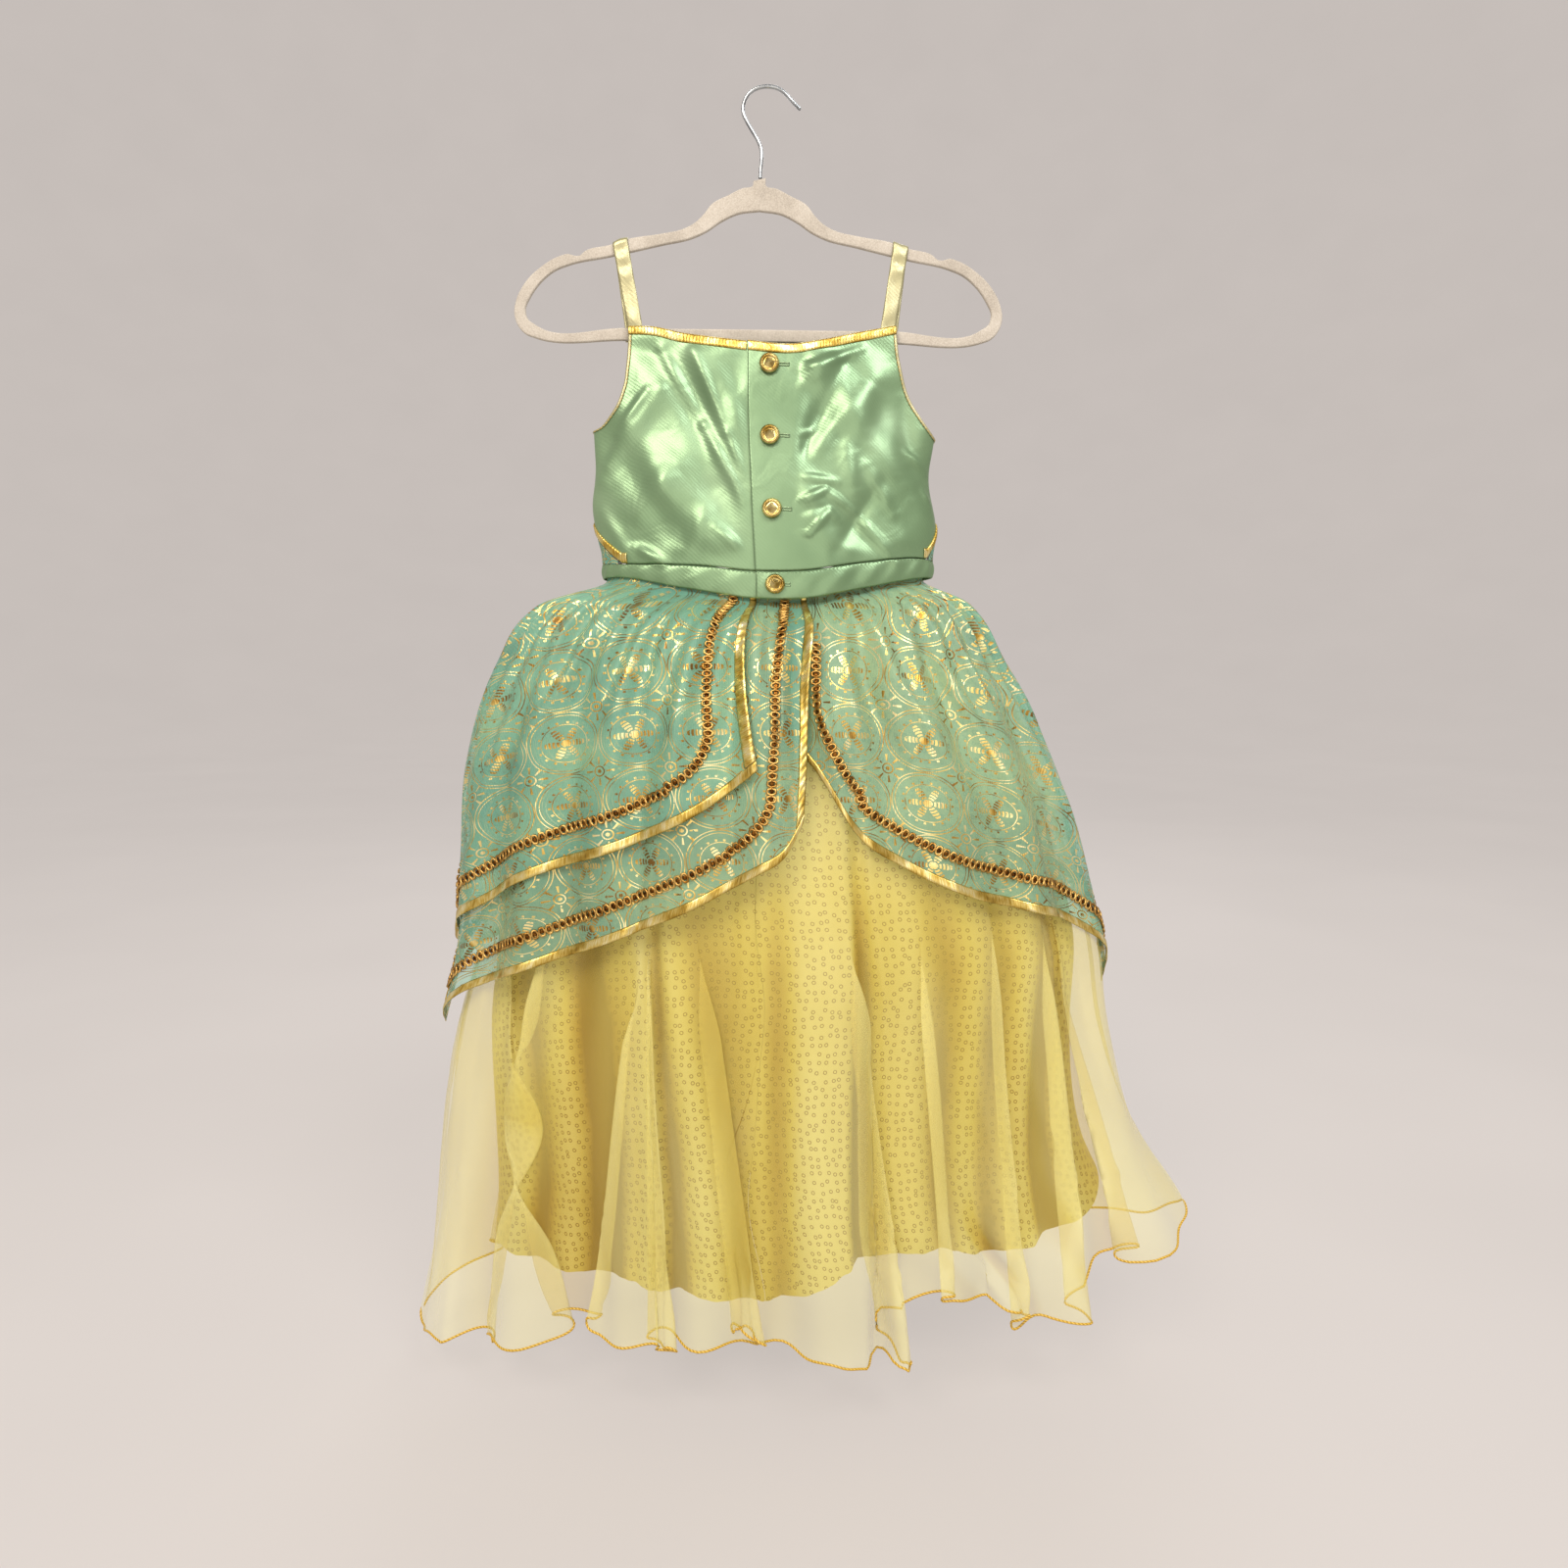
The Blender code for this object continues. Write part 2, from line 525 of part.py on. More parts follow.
def build_panel(name, over, front, tape_name):
    # One bodice panel with its neckline tape, armhole bindings and inset tapes.
    seam = SEAM_TURN
    if front:
        neck, sides = FRONT_NECK, ((RIGHT_ARMHOLE, 1), (LEFT_ARMHOLE, -1))
        def flip(pair):
            return 2 - pair[0], pair[1]
    else:
        neck, sides = BACK_NECK, ((LEFT_ARMHOLE, -1), (RIGHT_ARMHOLE, 1))
        def flip(pair):
            return pair
    neck_x, neck_level = column(neck, NECK_COLUMNS, "x"), column(neck, NECK_COLUMNS, "level")

    def open_edge(v):
        level = curve(np.zeros_like(v) + placket_x(np.full_like(v, -0.2), over), neck_x, neck_level)
        level = level + (band_edge(turn_of(placket_x(level, over), level), "top") + GAP - level) * v
        return turn_of(placket_x(level, over), level), level

    def side_edge(which):
        rows, side = sides[which]
        def edge(v):
            turn, level = armhole_side(v, rows, side)
            return flip((turn - side * seam * smooth((v - 0.5) / 0.05), level))
        return edge

    if front:
        left, right, start, stop = side_edge(0), side_edge(1), neck[-1][0], neck[0][0]
    elif over:
        left, right, start, stop = open_edge, side_edge(1), placket_x(np.array([-0.2185]), True)[0], neck[-1][0]
    else:
        left, right, start, stop = side_edge(0), open_edge, neck[0][0], UNDERLAP

    def top(u):
        x = start + (stop - start) * u
        level = curve(x, neck_x, neck_level)
        return flip((turn_of(x, level), level))

    def bottom(u):
        low, high = left(np.array([1.0]))[0][0], right(np.array([1.0]))[0][0]
        turn = low + (high - low) * u
        return turn, bodice_bottom(turn)

    tape, bind, low_tape = 0.045, 0.022, 0.955
    rows = np.array([0, tape, tape + 0.002, 0.15, 0.26, 0.36, 0.44, 0.50, 0.55, 0.68, 0.82, low_tape, 1])
    cols = np.concatenate([[0, bind], np.linspace(0, 1, 17 if front else 10)[1:-1], [1 - bind, 1]])
    tape_end = len(cols) - 1
    if not front and not over:
        share = (placket_x(np.array([-0.2185]), True)[0] - 0.0012 - start) / (stop - start)
        tape_end = int(np.argmin(np.abs(cols - share)))
        cols[tape_end] = share
    u, v = np.meshgrid(cols, rows)
    turn, level = coons(u, v, top, bottom, left, right)
    points, outward = bodice(turn, level), normals(bodice, turn, level)
    lift = lap(turn, level) if over else 0.0
    shell(name, points, outward, lift - SATIN, lift + 0.0, MINT)
    cells = np.zeros((len(rows) - 1, len(cols) - 1), bool)
    low, high = lift + GAP, lift + GAP + TRIM
    neck_cells = cells.copy()
    neck_cells[0, :tape_end] = True
    shell(tape_name, points, outward, low, high, TAPE, neck_cells)
    last = len(cols) - 2
    for j, is_side in ((0, front or not over), (last, front or over)):
        if is_side:
            bind_cells = cells.copy()
            bind_cells[2:8, j] = True
            side = ("right" if j == 0 else "left") if front else ("left" if j == 0 else "right")
            shell("armhole_binding_%s_%s" % ("front" if front else "back", side),
                  points, outward, low, high, STRAP, bind_cells)
            inset_cells = cells.copy()
            inset_cells[-1, (slice(0, 5) if j == 0 else slice(last - 4, None)) if front else
                        (slice(0, 4) if j == 0 else slice(last - 2, None))] = True
            shell("inset_tape_%s_%s" % ("front" if front else "back", side),
                  points, outward, low, high, TAPE, inset_cells)


def build_inset(name, side):
    reach = -SIDE_INSET["left"] if side < 0 else SIDE_INSET["right"]
    turn = side * np.linspace(reach + 0.04, 2 - reach - 0.04, 9)
    turn = np.broadcast_to(turn, (3, 9))
    share = np.array([0.0, 0.5, 1.0])[:, None]
    high, low = bodice_bottom(turn) - 4 * GAP, band_edge(turn, "top") + GAP
    level = high + (low - high) * share
    points, outward = bodice(turn, level), normals(bodice, turn, level)
    shell(name, points, outward, -SATIN, 0.0, PRINT)


def build_band():
    for name, start, stop, over in (("waistband_back_left", -1.0, None, False),
                                    ("waistband_back_right", None, 1.0, True),
                                    ("waistband_front", 1.0, 3.0, False)):
        if start is None:
            start = float(turn_of(placket_x(np.array([-0.437]), True), np.array([-0.437]))[0])
        if stop is None:
            stop = float(turn_of(np.array([UNDERLAP]), np.array([-0.437]))[0])
        turn = np.linspace(start + 0.0012, stop - 0.0012, 19 if stop > 2 else 11)
        share = np.array([0.0, 0.5, 1.0])
        turn, share = np.meshgrid(turn, share)
        level = band_edge(turn, "top") * (1 - share) + band_edge(turn, "bottom") * share
        points, outward = bodice(turn, level), normals(bodice, turn, level)
        lift = lap(turn, level) if over else 0.0
        shell(name, points, outward, lift - SATIN, lift, MINT)


def build_skirt(name_start, hem, rise, share, layout, look, ruffle, shares, narrow):
    # Rows at fixed drops near the waist, then at shares of the way to the hem.
    for name, parts, first, last in layout:
        place = np.linspace(first, last, (last - first) * parts + 1)
        turn = []
        for one in np.concatenate([TOP_DROPS, 0.08 + 0.62 * np.array(shares)]):
            turns = fold_stations(one)[0]
            turn.append(np.interp(place, np.arange(len(turns)), turns))
        turn = np.array(turn)
        centre = (BACK_SEAM_FOLD, FRONT_SEAM_FOLD)
        turn[:, 0] += CENTRE_SEAM_TURN if first in centre else SEAM_TURN
        turn[:, -1] -= CENTRE_SEAM_TURN if last in centre else SEAM_TURN
        deepest = band_edge(turn, "bottom") - curve(wrap(turn), column(hem, HEM_COLUMNS, "turn"),
                                                    column(hem, HEM_COLUMNS, "level"))
        drop = TOP_DROPS[-1] + (deepest - TOP_DROPS[-1]) * np.concatenate([0 * TOP_DROPS, shares])[:, None]
        drop[:len(TOP_DROPS)] = TOP_DROPS[:, None]

        def base(a, b):
            return skirt(a, b, rise, share, 0.0, narrow)

        points, outward = base(turn, drop), normals(base, turn, drop)
        flutter = np.zeros_like(turn)
        flutter[-1, 1:-1] = ruffle * np.cos(math.pi * np.arange(1, turn.shape[1] - 1))
        points = points + outward * flutter[..., None]
        shell(name_start + name, points, outward, -SHEER, 0.0, look)


def build_tier(key):
    spec = TIERS[key]
    rise = rise_from(spec["tucked"], spec["rise"])
    base = lambda a, b: skirt(a, b, rise, spec["share"], 0.0022)

    def place(u, v):
        turn_low, drop_low = polyline(spec["edge"], EDGE_COLUMNS, u)
        turn_high = spec["top"][0] + (spec["top"][1] - spec["top"][0]) * u
        return turn_high + (turn_low - turn_high) * v, -TUCK + (drop_low + TUCK) * v

    def at(u, v):
        return base(*place(u, v))

    # Grid lines at the edges of the tape and the braid along the three free sides.
    widths = (TAPE_WIDTH, BRAID_IN, BRAID_OUT)
    rows_v = np.concatenate([[0, 0.02, 0.12, 0.28, 0.46, 0.64, 0.80], [np.nan] * 3, [1]])
    span = np.linalg.norm(at(np.linspace(0, 1, 60), np.full(60, 0.6))[1:]
                          - at(np.linspace(0, 1, 60), np.full(60, 0.6))[:-1], axis=-1).sum()
    side = np.array([0.0] + [w / span for w in widths])
    hip = (math.copysign(1.0, spec["top"][1]) - spec["top"][0]) / (spec["top"][1] - spec["top"][0])
    cols_u = np.concatenate([side, np.linspace(side[-1], 1 - side[-1], 20)[1:-1], 1 - side[::-1],
                             [hip - 0.012, hip + 0.012]])
    cols_u = np.sort(cols_u)
    u = np.tile(cols_u, (len(rows_v), 1))
    v = np.tile(rows_v[:, None], (1, len(cols_u)))
    tall = np.linalg.norm(at(cols_u, np.ones_like(cols_u)) - at(cols_u, np.full_like(cols_u, 0.8)), axis=-1) / 0.2
    for k, width in enumerate(reversed(widths)):
        v[7 + k] = 1 - width / tall
    depth = polyline(spec["edge"], EDGE_COLUMNS, cols_u)[1] + TUCK
    for k in (1, 2, 3):
        v[k] = (TUCK + TOP_DROPS[k]) / depth
    for k in (4, 5, 6):
        v[k] = v[3] + (v[7] - v[3]) * (k - 3) / 4
    turn, drop = place(u, v)
    points, outward = base(turn, drop), normals(base, turn, drop)
    shell("overskirt_" + key, points, outward, -SHEER, 0.0, PRINT)
    cells = np.zeros((u.shape[0] - 1, u.shape[1] - 1), bool)
    tape, braid = cells.copy(), cells.copy()
    first = 4 if spec.get("covered") else 1
    tape[first:, 0] = tape[1:, -1] = tape[-1, :] = True
    braid[first:-2, 2] = braid[1:-2, -3] = braid[-3, 2:-2] = True
    shell("overskirt_tape_" + key, points, outward, GAP, GAP + TRIM, TAPE, tape)
    shell("overskirt_braid_" + key, points, outward, GAP, GAP + TRIM, BRAID, braid)


def build_buttons():
    profile = ((0.0, 0.0066), (0.0050, 0.0063), (0.0074, 0.0046), (0.0080, 0.0036), (0.0090, 0.0034),
               (0.0090, 0.0020), (0.0040, 0.0012), (0.0028, 0.0), (0.0, 0.0))
    for k, (x, level) in enumerate(BUTTONS):
        name = "button_%d" % (k + 1)
        mesh = bpy.data.meshes.new(name)
        scale = BUTTON_RADIUS / 0.009
        mesh.from_pydata([(r * scale, 0.0, z) for r, z in profile], [(i, i + 1) for i in range(8)], [])
        mesh.materials.append(material(name, *GOLD))
        made = bpy.data.objects.new(name, mesh)
        bpy.data.collections["dress_on_hanger"].objects.link(made)
        screw = made.modifiers.new("turned", "SCREW")
        screw.steps = screw.render_steps = 12
        screw.use_merge_vertices = True
        screw.merge_threshold = 0.00005
        screw.use_normal_calculate = True
        spot = np.array([level])
        turn = turn_of(np.array([x]), spot)
        point, outward = bodice(turn, spot)[0], normals(bodice, turn, spot)[0]
        seat = point + outward * (float(lap(turn, spot)[0]) + GAP)
        made.location = tuple(seat)
        made.rotation_euler = (math.pi / 2 - math.asin(outward[2]), 0.0, math.atan2(outward[0], -outward[1]))


def hanger_top(x):
    across = abs(x - HANGER_X)
    arm = HANGER_OUTER[1:19]
    level = np.interp(across, column(arm, HANGER_COLUMNS, "across"), column(arm, HANGER_COLUMNS, "level"))
    return level - HANGER_TILT * (x - HANGER_X)


def build_strap(side):
    spec = STRAPS[side]
    radius = HANGER_HALF + 0.0014
    rows = []
    arc = np.linspace(math.pi, 0, 7)
    for shift in (-0.5, 0.0, 0.5):
        line = []
        top_x = spec["top"] + shift * STRAP_WIDTH
        high = hanger_top(top_x) + 0.0010 - radius
        for base_key, back in (("base", True), ("front", False)):
            base_x = spec[base_key] + shift * STRAP_WIDTH
            depth = []
            for level in (-0.2150, -0.2060):
                spot = np.array([level])
                turn = turn_of(np.array([base_x]), spot)
                turn = turn if back else 2 - turn
                depth.append((base_x, bodice(turn, spot)[0][1] + (1 if back else -1) * (SATIN + GAP + STRAP_THICK),
                              level))
            middle = tuple((np.array(depth[1]) + np.array((top_x, -radius if back else radius, high))) / 2)
            line.append([depth[0], depth[1], middle])
        bend = [(top_x, radius * math.cos(t), high + radius * math.sin(t)) for t in arc]
        rows.append(line[0] + bend + line[1][::-1])
    points = np.array(rows)
    along = np.gradient(points, axis=1)
    across = np.gradient(points, axis=0)
    outward = np.cross(across, along)
    outward /= np.linalg.norm(outward, axis=-1, keepdims=True)
    if outward[1, 6, 2] < 0:
        outward = -outward
    shell("strap_" + side, points, outward, 0.0, STRAP_THICK, STRAP)


def build_hanger():
    half = [(a, z) for a, z in HANGER_OUTER]
    outer = half + [(-a, z) for a, z in reversed(half)]
    inner_half = list(HANGER_INNER)
    inner = inner_half + [(-a, z) for a, z in reversed(inner_half[1:])]
    flat = bpy.data.curves.new("hanger_body", "CURVE")
    flat.dimensions = "2D"
    flat.fill_mode = "BOTH"
    flat.extrude = HANGER_HALF - 0.0008
    flat.bevel_depth = 0.0008
    flat.bevel_resolution = 0
    flat.offset = -0.0008
    for loop in (outer, inner):
        spline = flat.splines.new("POLY")
        spline.points.add(len(loop) - 1)
        for point, (a, z) in zip(spline.points, loop):
            point.co = (a, z, 0.0, 1.0)
        spline.use_cyclic_u = True
    flat.materials.append(material("hanger_body", *FLOCK))
    body = bpy.data.objects.new("hanger_body", flat)
    bpy.data.collections["dress_on_hanger"].objects.link(body)
    body.location = (HANGER_X - HANGER_TILT * HANGER_OUTER[0][1], 0.0, 0.0)
    body.rotation_euler = (math.pi / 2, HANGER_TILT, 0.0)

    wire = bpy.data.curves.new("hanger_hook", "CURVE")
    wire.dimensions = "3D"
    wire.bevel_depth = WIRE_RADIUS
    wire.bevel_resolution = 2
    wire.use_fill_caps = True
    spline = wire.splines.new("POLY")
    spline.points.add(len(HOOK) - 1)
    for point, (x, z) in zip(spline.points, HOOK):
        point.co = (x, 0.0, z, 1.0)
    wire.materials.append(material("hanger_hook", *STEEL))
    hook = bpy.data.objects.new("hanger_hook", wire)
    bpy.data.collections["dress_on_hanger"].objects.link(hook)


def main():
    clear_scene()
    home = bpy.data.collections.new("dress_on_hanger")
    bpy.context.scene.collection.children.link(home)
    build_hanger()
    build_panel("bodice_back_left", False, False, "neck_tape_back_left")
    build_panel("bodice_back_right", True, False, "neck_tape_back_right")
    build_panel("bodice_front", False, True, "neck_tape_front")
    build_inset("side_inset_left", -1)
    build_inset("side_inset_right", 1)
    build_band()
    build_strap("left")
    build_strap("right")
    build_buttons()
    pitch = SHEER + 4 * GAP
    first = -SATIN - 4 * GAP
    TIERS["left_upper"]["tucked"] = first
    TIERS["left_lower"]["tucked"] = first - 1.4 * pitch
    TIERS["right"]["tucked"] = first - 2.4 * pitch
    for key in TIERS:
        build_tier(key)
    side = len(BACK_FOLDS) + 1
    end = side + len(FRONT_FOLDS) + 1
    layout = [("_back_left", 2, 0, BACK_SEAM_FOLD), ("_back_right", 2, BACK_SEAM_FOLD, side),
              ("_front", 2, side, end)]
    build_skirt("organza_skirt", ORGANZA_HEM, rise_from(first - 3.7 * pitch, 0.0), 1.0, layout, ORGANZA,
                RUFFLE, (0.18, 0.36, 0.54, 0.72, 0.88, 1.0), 0.0)
    layout = [("_back_left", 1, 0, BACK_SEAM_FOLD), ("_back_right", 1, BACK_SEAM_FOLD, side),
              ("_front_right", 1, side, FRONT_SEAM_FOLD), ("_front_left", 1, FRONT_SEAM_FOLD, end)]
    upper = rise_from(first - 4.7 * pitch, DOTTED_RISE)
    build_skirt("dotted_skirt", DOTTED_HEM, lambda drop: upper(drop) - DOTTED_SET_IN * smooth((drop - 0.25) / 0.25),
                0.6, layout, DOTTED, 0.0, (0.2, 0.4, 0.6, 0.8, 1.0), DOTTED_NARROW)


main()
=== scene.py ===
import math

import bpy
import numpy as np
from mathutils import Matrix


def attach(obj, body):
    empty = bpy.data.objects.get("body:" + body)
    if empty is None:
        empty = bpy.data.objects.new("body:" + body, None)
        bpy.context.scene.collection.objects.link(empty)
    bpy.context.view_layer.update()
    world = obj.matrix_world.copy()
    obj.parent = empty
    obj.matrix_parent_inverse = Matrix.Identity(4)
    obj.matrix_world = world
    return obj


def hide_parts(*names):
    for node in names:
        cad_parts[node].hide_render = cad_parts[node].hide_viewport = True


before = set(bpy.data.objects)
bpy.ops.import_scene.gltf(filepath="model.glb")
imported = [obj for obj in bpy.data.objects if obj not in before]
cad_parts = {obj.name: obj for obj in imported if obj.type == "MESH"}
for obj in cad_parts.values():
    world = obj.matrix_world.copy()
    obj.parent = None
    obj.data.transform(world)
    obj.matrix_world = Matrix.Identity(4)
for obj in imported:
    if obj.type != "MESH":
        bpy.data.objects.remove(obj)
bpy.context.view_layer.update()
print("frame loaded")

# The garment's back faces -Y. "turn" runs round the body: 0 centre back, 1 and -1 the sides, 2 centre front.
# "drop" is the depth below the waistband's lower edge. All sizes are metres.
layer = {"satin": 0.0016, "sheer": 0.0012, "trim": 0.0010, "gap": 0.0003, "tuck": 0.006}


# Surfaces

def smooth(t):
    # 3t^2 - 2t^3 between 0 and 1.
    t = np.clip(t, 0, 1)
    return t * t * (3 - 2 * t)


def curve(at, knots, values):
    # A cubic through the knots, its slope at each knot taken from the two beside it.
    knots, values = np.asarray(knots, float), np.asarray(values, float)
    at = np.clip(at, knots[0], knots[-1])
    slopes = np.gradient(values, knots)
    i = np.clip(np.searchsorted(knots, at, side="right") - 1, 0, len(knots) - 2)
    span = knots[i + 1] - knots[i]
    t = (at - knots[i]) / span
    return ((1 + 2 * t) * (1 - t) ** 2 * values[i] + t * (1 - t) ** 2 * span * slopes[i]
            + t * t * (3 - 2 * t) * values[i + 1] + t * t * (t - 1) * span * slopes[i + 1])


def lengthAlong(path):
    # The distance of each point of a path from its first, measured along it.
    return np.concatenate([[0], np.cumsum(np.linalg.norm(np.diff(path, axis=0), axis=-1))])


def unitOf(vectors):
    return vectors / np.maximum(np.linalg.norm(vectors, axis=-1, keepdims=True), 1e-12)


def wrapTurn(turn):
    return (np.asarray(turn) + 2) % 4 - 2


def ring(turn, left, right, back, front):
    # x = middle + half sin(turn), y = -depth cos(turn), with the outward direction of that oval.
    side, deep = np.sin(math.pi * turn / 2), np.cos(math.pi * turn / 2)
    half, depth = (right - left) / 2, np.where(deep > 0, back, front)
    nx, ny = side / half, -deep / depth
    size = np.hypot(nx, ny)
    return (left + right) / 2 + half * side, -depth * deep, nx / size, ny / size


def sizesAt(shape, at):
    first, *others = shape
    knots = np.array(shape[first])
    flip = 1 if knots[0] < knots[-1] else -1
    return [curve(at, knots[::flip], shape[name][::flip]) for name in others]


def ridges(rows, x, z):
    # The sum of height exp(-(d / width)^2), with d the distance to each row's straight line.
    total = np.zeros(np.broadcast(x, z).shape)
    for x1, z1, x2, z2, width, height in rows:
        ax, az = x2 - x1, z2 - z1
        share = np.clip(((x - x1) * ax + (z - z1) * az) / (ax * ax + az * az), 0, 1)
        away = np.hypot(x - x1 - share * ax, z - z1 - share * az)
        fade = 0.35 + 0.65 * np.sin(math.pi * np.clip(share, 0.06, 0.94))  # lower at both ends of the line
        total = total + height * fade * np.exp(-(away / width) ** 2)
    return total


def normalsOf(surface, a, b):
    # The cross product of the surface's two slopes, turned to face away from the body's axis.
    step = 2e-4
    down, across = surface(a, b + step) - surface(a, b - step), surface(a + step, b) - surface(a - step, b)
    cross = np.cross(down, across)
    away = cross[..., 0] * np.sin(math.pi * a / 2) - cross[..., 1] * np.cos(math.pi * a / 2)
    return unitOf(cross * np.where(away < 0, -1.0, 1.0)[..., None])


def clothUv(points):
    # Lengths along the cloth in metres, across and down, so that a pattern keeps its real size.
    across = np.linalg.norm(np.diff(points, axis=1), axis=-1)
    down = np.linalg.norm(np.diff(points, axis=0), axis=-1)
    u = np.concatenate([np.zeros((points.shape[0], 1)), np.cumsum(across, 1)], 1)
    v = np.concatenate([np.zeros((1, points.shape[1])), np.cumsum(down, 0)], 0)
    return np.stack([u - u[:, -1:] / 2, v], -1)


def gridFaces(rows, cols, joinRows=False, joinCols=False):
    # Four-sided faces between the points of a grid, joined round to its first row or column where asked.
    i, j = np.meshgrid(np.arange(rows if joinRows else rows - 1), np.arange(cols if joinCols else cols - 1),
                       indexing="ij")
    i2, j2 = (i + 1) % rows, (j + 1) % cols
    return np.stack([i * cols + j, i * cols + j2, i2 * cols + j2, i2 * cols + j], -1).reshape(-1, 4)


def lookOut(faces, points, outward):
    # The faces, turned round if they look against the outward directions of their points.
    a, b, c = (points[faces[:, k]] for k in range(3))
    return faces if np.sum(np.cross(b - a, c - a) * outward[faces[:, 0]]) >= 0 else faces[:, ::-1]


def manyFaces(faces, copies, size):
    # The faces of one small shape of size points, repeated for each copy.
    return (np.arange(copies)[:, None, None] * size + faces[None]).reshape(-1, 4)


def addPiece(name, vertices, faces, look, uv=None, replaces=(), wall=0.0):
    # Puts vertex and face arrays into a mesh, with shared UVs in metres, and fixes it to the frame.
    mesh = bpy.data.meshes.new(name)
    vertices, faces = vertices.reshape(-1, 3), np.asarray(faces)
    count = len(faces)
    mesh.vertices.add(len(vertices))
    mesh.vertices.foreach_set("co", vertices.astype(np.float32).ravel())
    mesh.loops.add(count * 4)
    mesh.loops.foreach_set("vertex_index", faces.astype(np.int32).ravel())
    mesh.polygons.add(count)
    mesh.polygons.foreach_set("loop_start", np.arange(0, count * 4, 4, dtype=np.int32))
    mesh.polygons.foreach_set("use_smooth", np.ones(count, bool))
    mesh.update(calc_edges=True)
    mesh.validate()
    if uv is not None:
        made = mesh.uv_layers.new(name="cloth")
        picked = np.empty(len(mesh.loops), np.int32)
        mesh.loops.foreach_get("vertex_index", picked)
        made.uv.foreach_set("vector", uv.reshape(-1, 2)[picked].astype(np.float32).ravel())
    mesh.materials.append(look)
    piece = bpy.data.objects.new(name if name not in bpy.data.objects else name + "_cloth", mesh)
    bpy.context.scene.collection.objects.link(piece)
    if wall:
        solid = piece.modifiers.new("wall", "SOLIDIFY")
        solid.thickness, solid.offset = wall, -1.0
    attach(piece, "root")
    if replaces:
        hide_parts(*([replaces] if isinstance(replaces, str) else replaces))
    return piece


def addSheet(name, points, outward, look, slot=None, replaces=(), wall=0.0, uv=None, **join):
    # A grid of points as one sheet whose faces look along outward.
    flat = points.reshape(-1, 3)
    faces = lookOut(gridFaces(*points.shape[:2], **join), flat, outward.reshape(-1, 3))
    return addPiece(name, flat, faces, look, clothUv(points) if uv is None else uv, replaces, wall)


def addRoll(name, path, look, radius, sides=6):
    # A closed tube of round section carried along a path of points.
    along = unitOf(np.gradient(path, axis=0))
    across = unitOf(np.cross(along, (0.0, 0.0, 1.0)))
    up = np.cross(across, along)
    angle = np.linspace(0, 2 * math.pi, sides, endpoint=False)
    size = np.full(len(path), radius)
    size[[0, -1]] = radius * 0.02
    out = np.cos(angle)[None, :, None] * across[:, None] + np.sin(angle)[None, :, None] * up[:, None]
    points = path[:, None] + out * size[:, None, None]
    length = lengthAlong(path)[:, None]
    uv = np.stack([length + 0 * angle, radius * angle + 0 * length], -1)
    return addSheet(name, points, out, look, uv=uv, joinCols=True)


# The body's shape: bodice, waistband and skirt layers

bandShape = {
    "turn": [-2, -1.5, -1, -0.564, -0.369, -0.258, -0.058, 0.128, 0.352, 0.626, 1, 1.5, 2],
    "top": [-0.419, -0.417, -0.4165, -0.4175, -0.4184, -0.4195, -0.4242, -0.4242, -0.4172, -0.412,
            -0.4145, -0.4165, -0.419],
    "bottom": [-0.442, -0.437, -0.4305, -0.431, -0.438, -0.4418, -0.4488, -0.4494, -0.4406, -0.4315,
            -0.429, -0.436, -0.442],
}


def bandEdge(turn, name):
    # The level of the waistband's top or bottom seam at a turn.
    return curve(wrapTurn(turn), bandShape["turn"], bandShape[name])


bodiceShape = {
    "level": [-0.2, -0.25, -0.295, -0.325, -0.36, -0.385, -0.417, -0.46],
    "left": [-0.166, -0.166, -0.1655, -0.1645, -0.1655, -0.1615, -0.159, -0.1585],
    "right": [0.154, 0.153, 0.15, 0.1485, 0.15, 0.1505, 0.151, 0.1505],
    "back": [0.012, 0.02, 0.026, 0.03, 0.034, 0.036, 0.038, 0.04],
    "front": [0.012, 0.016, 0.02, 0.022, 0.024, 0.025, 0.026, 0.028],
}
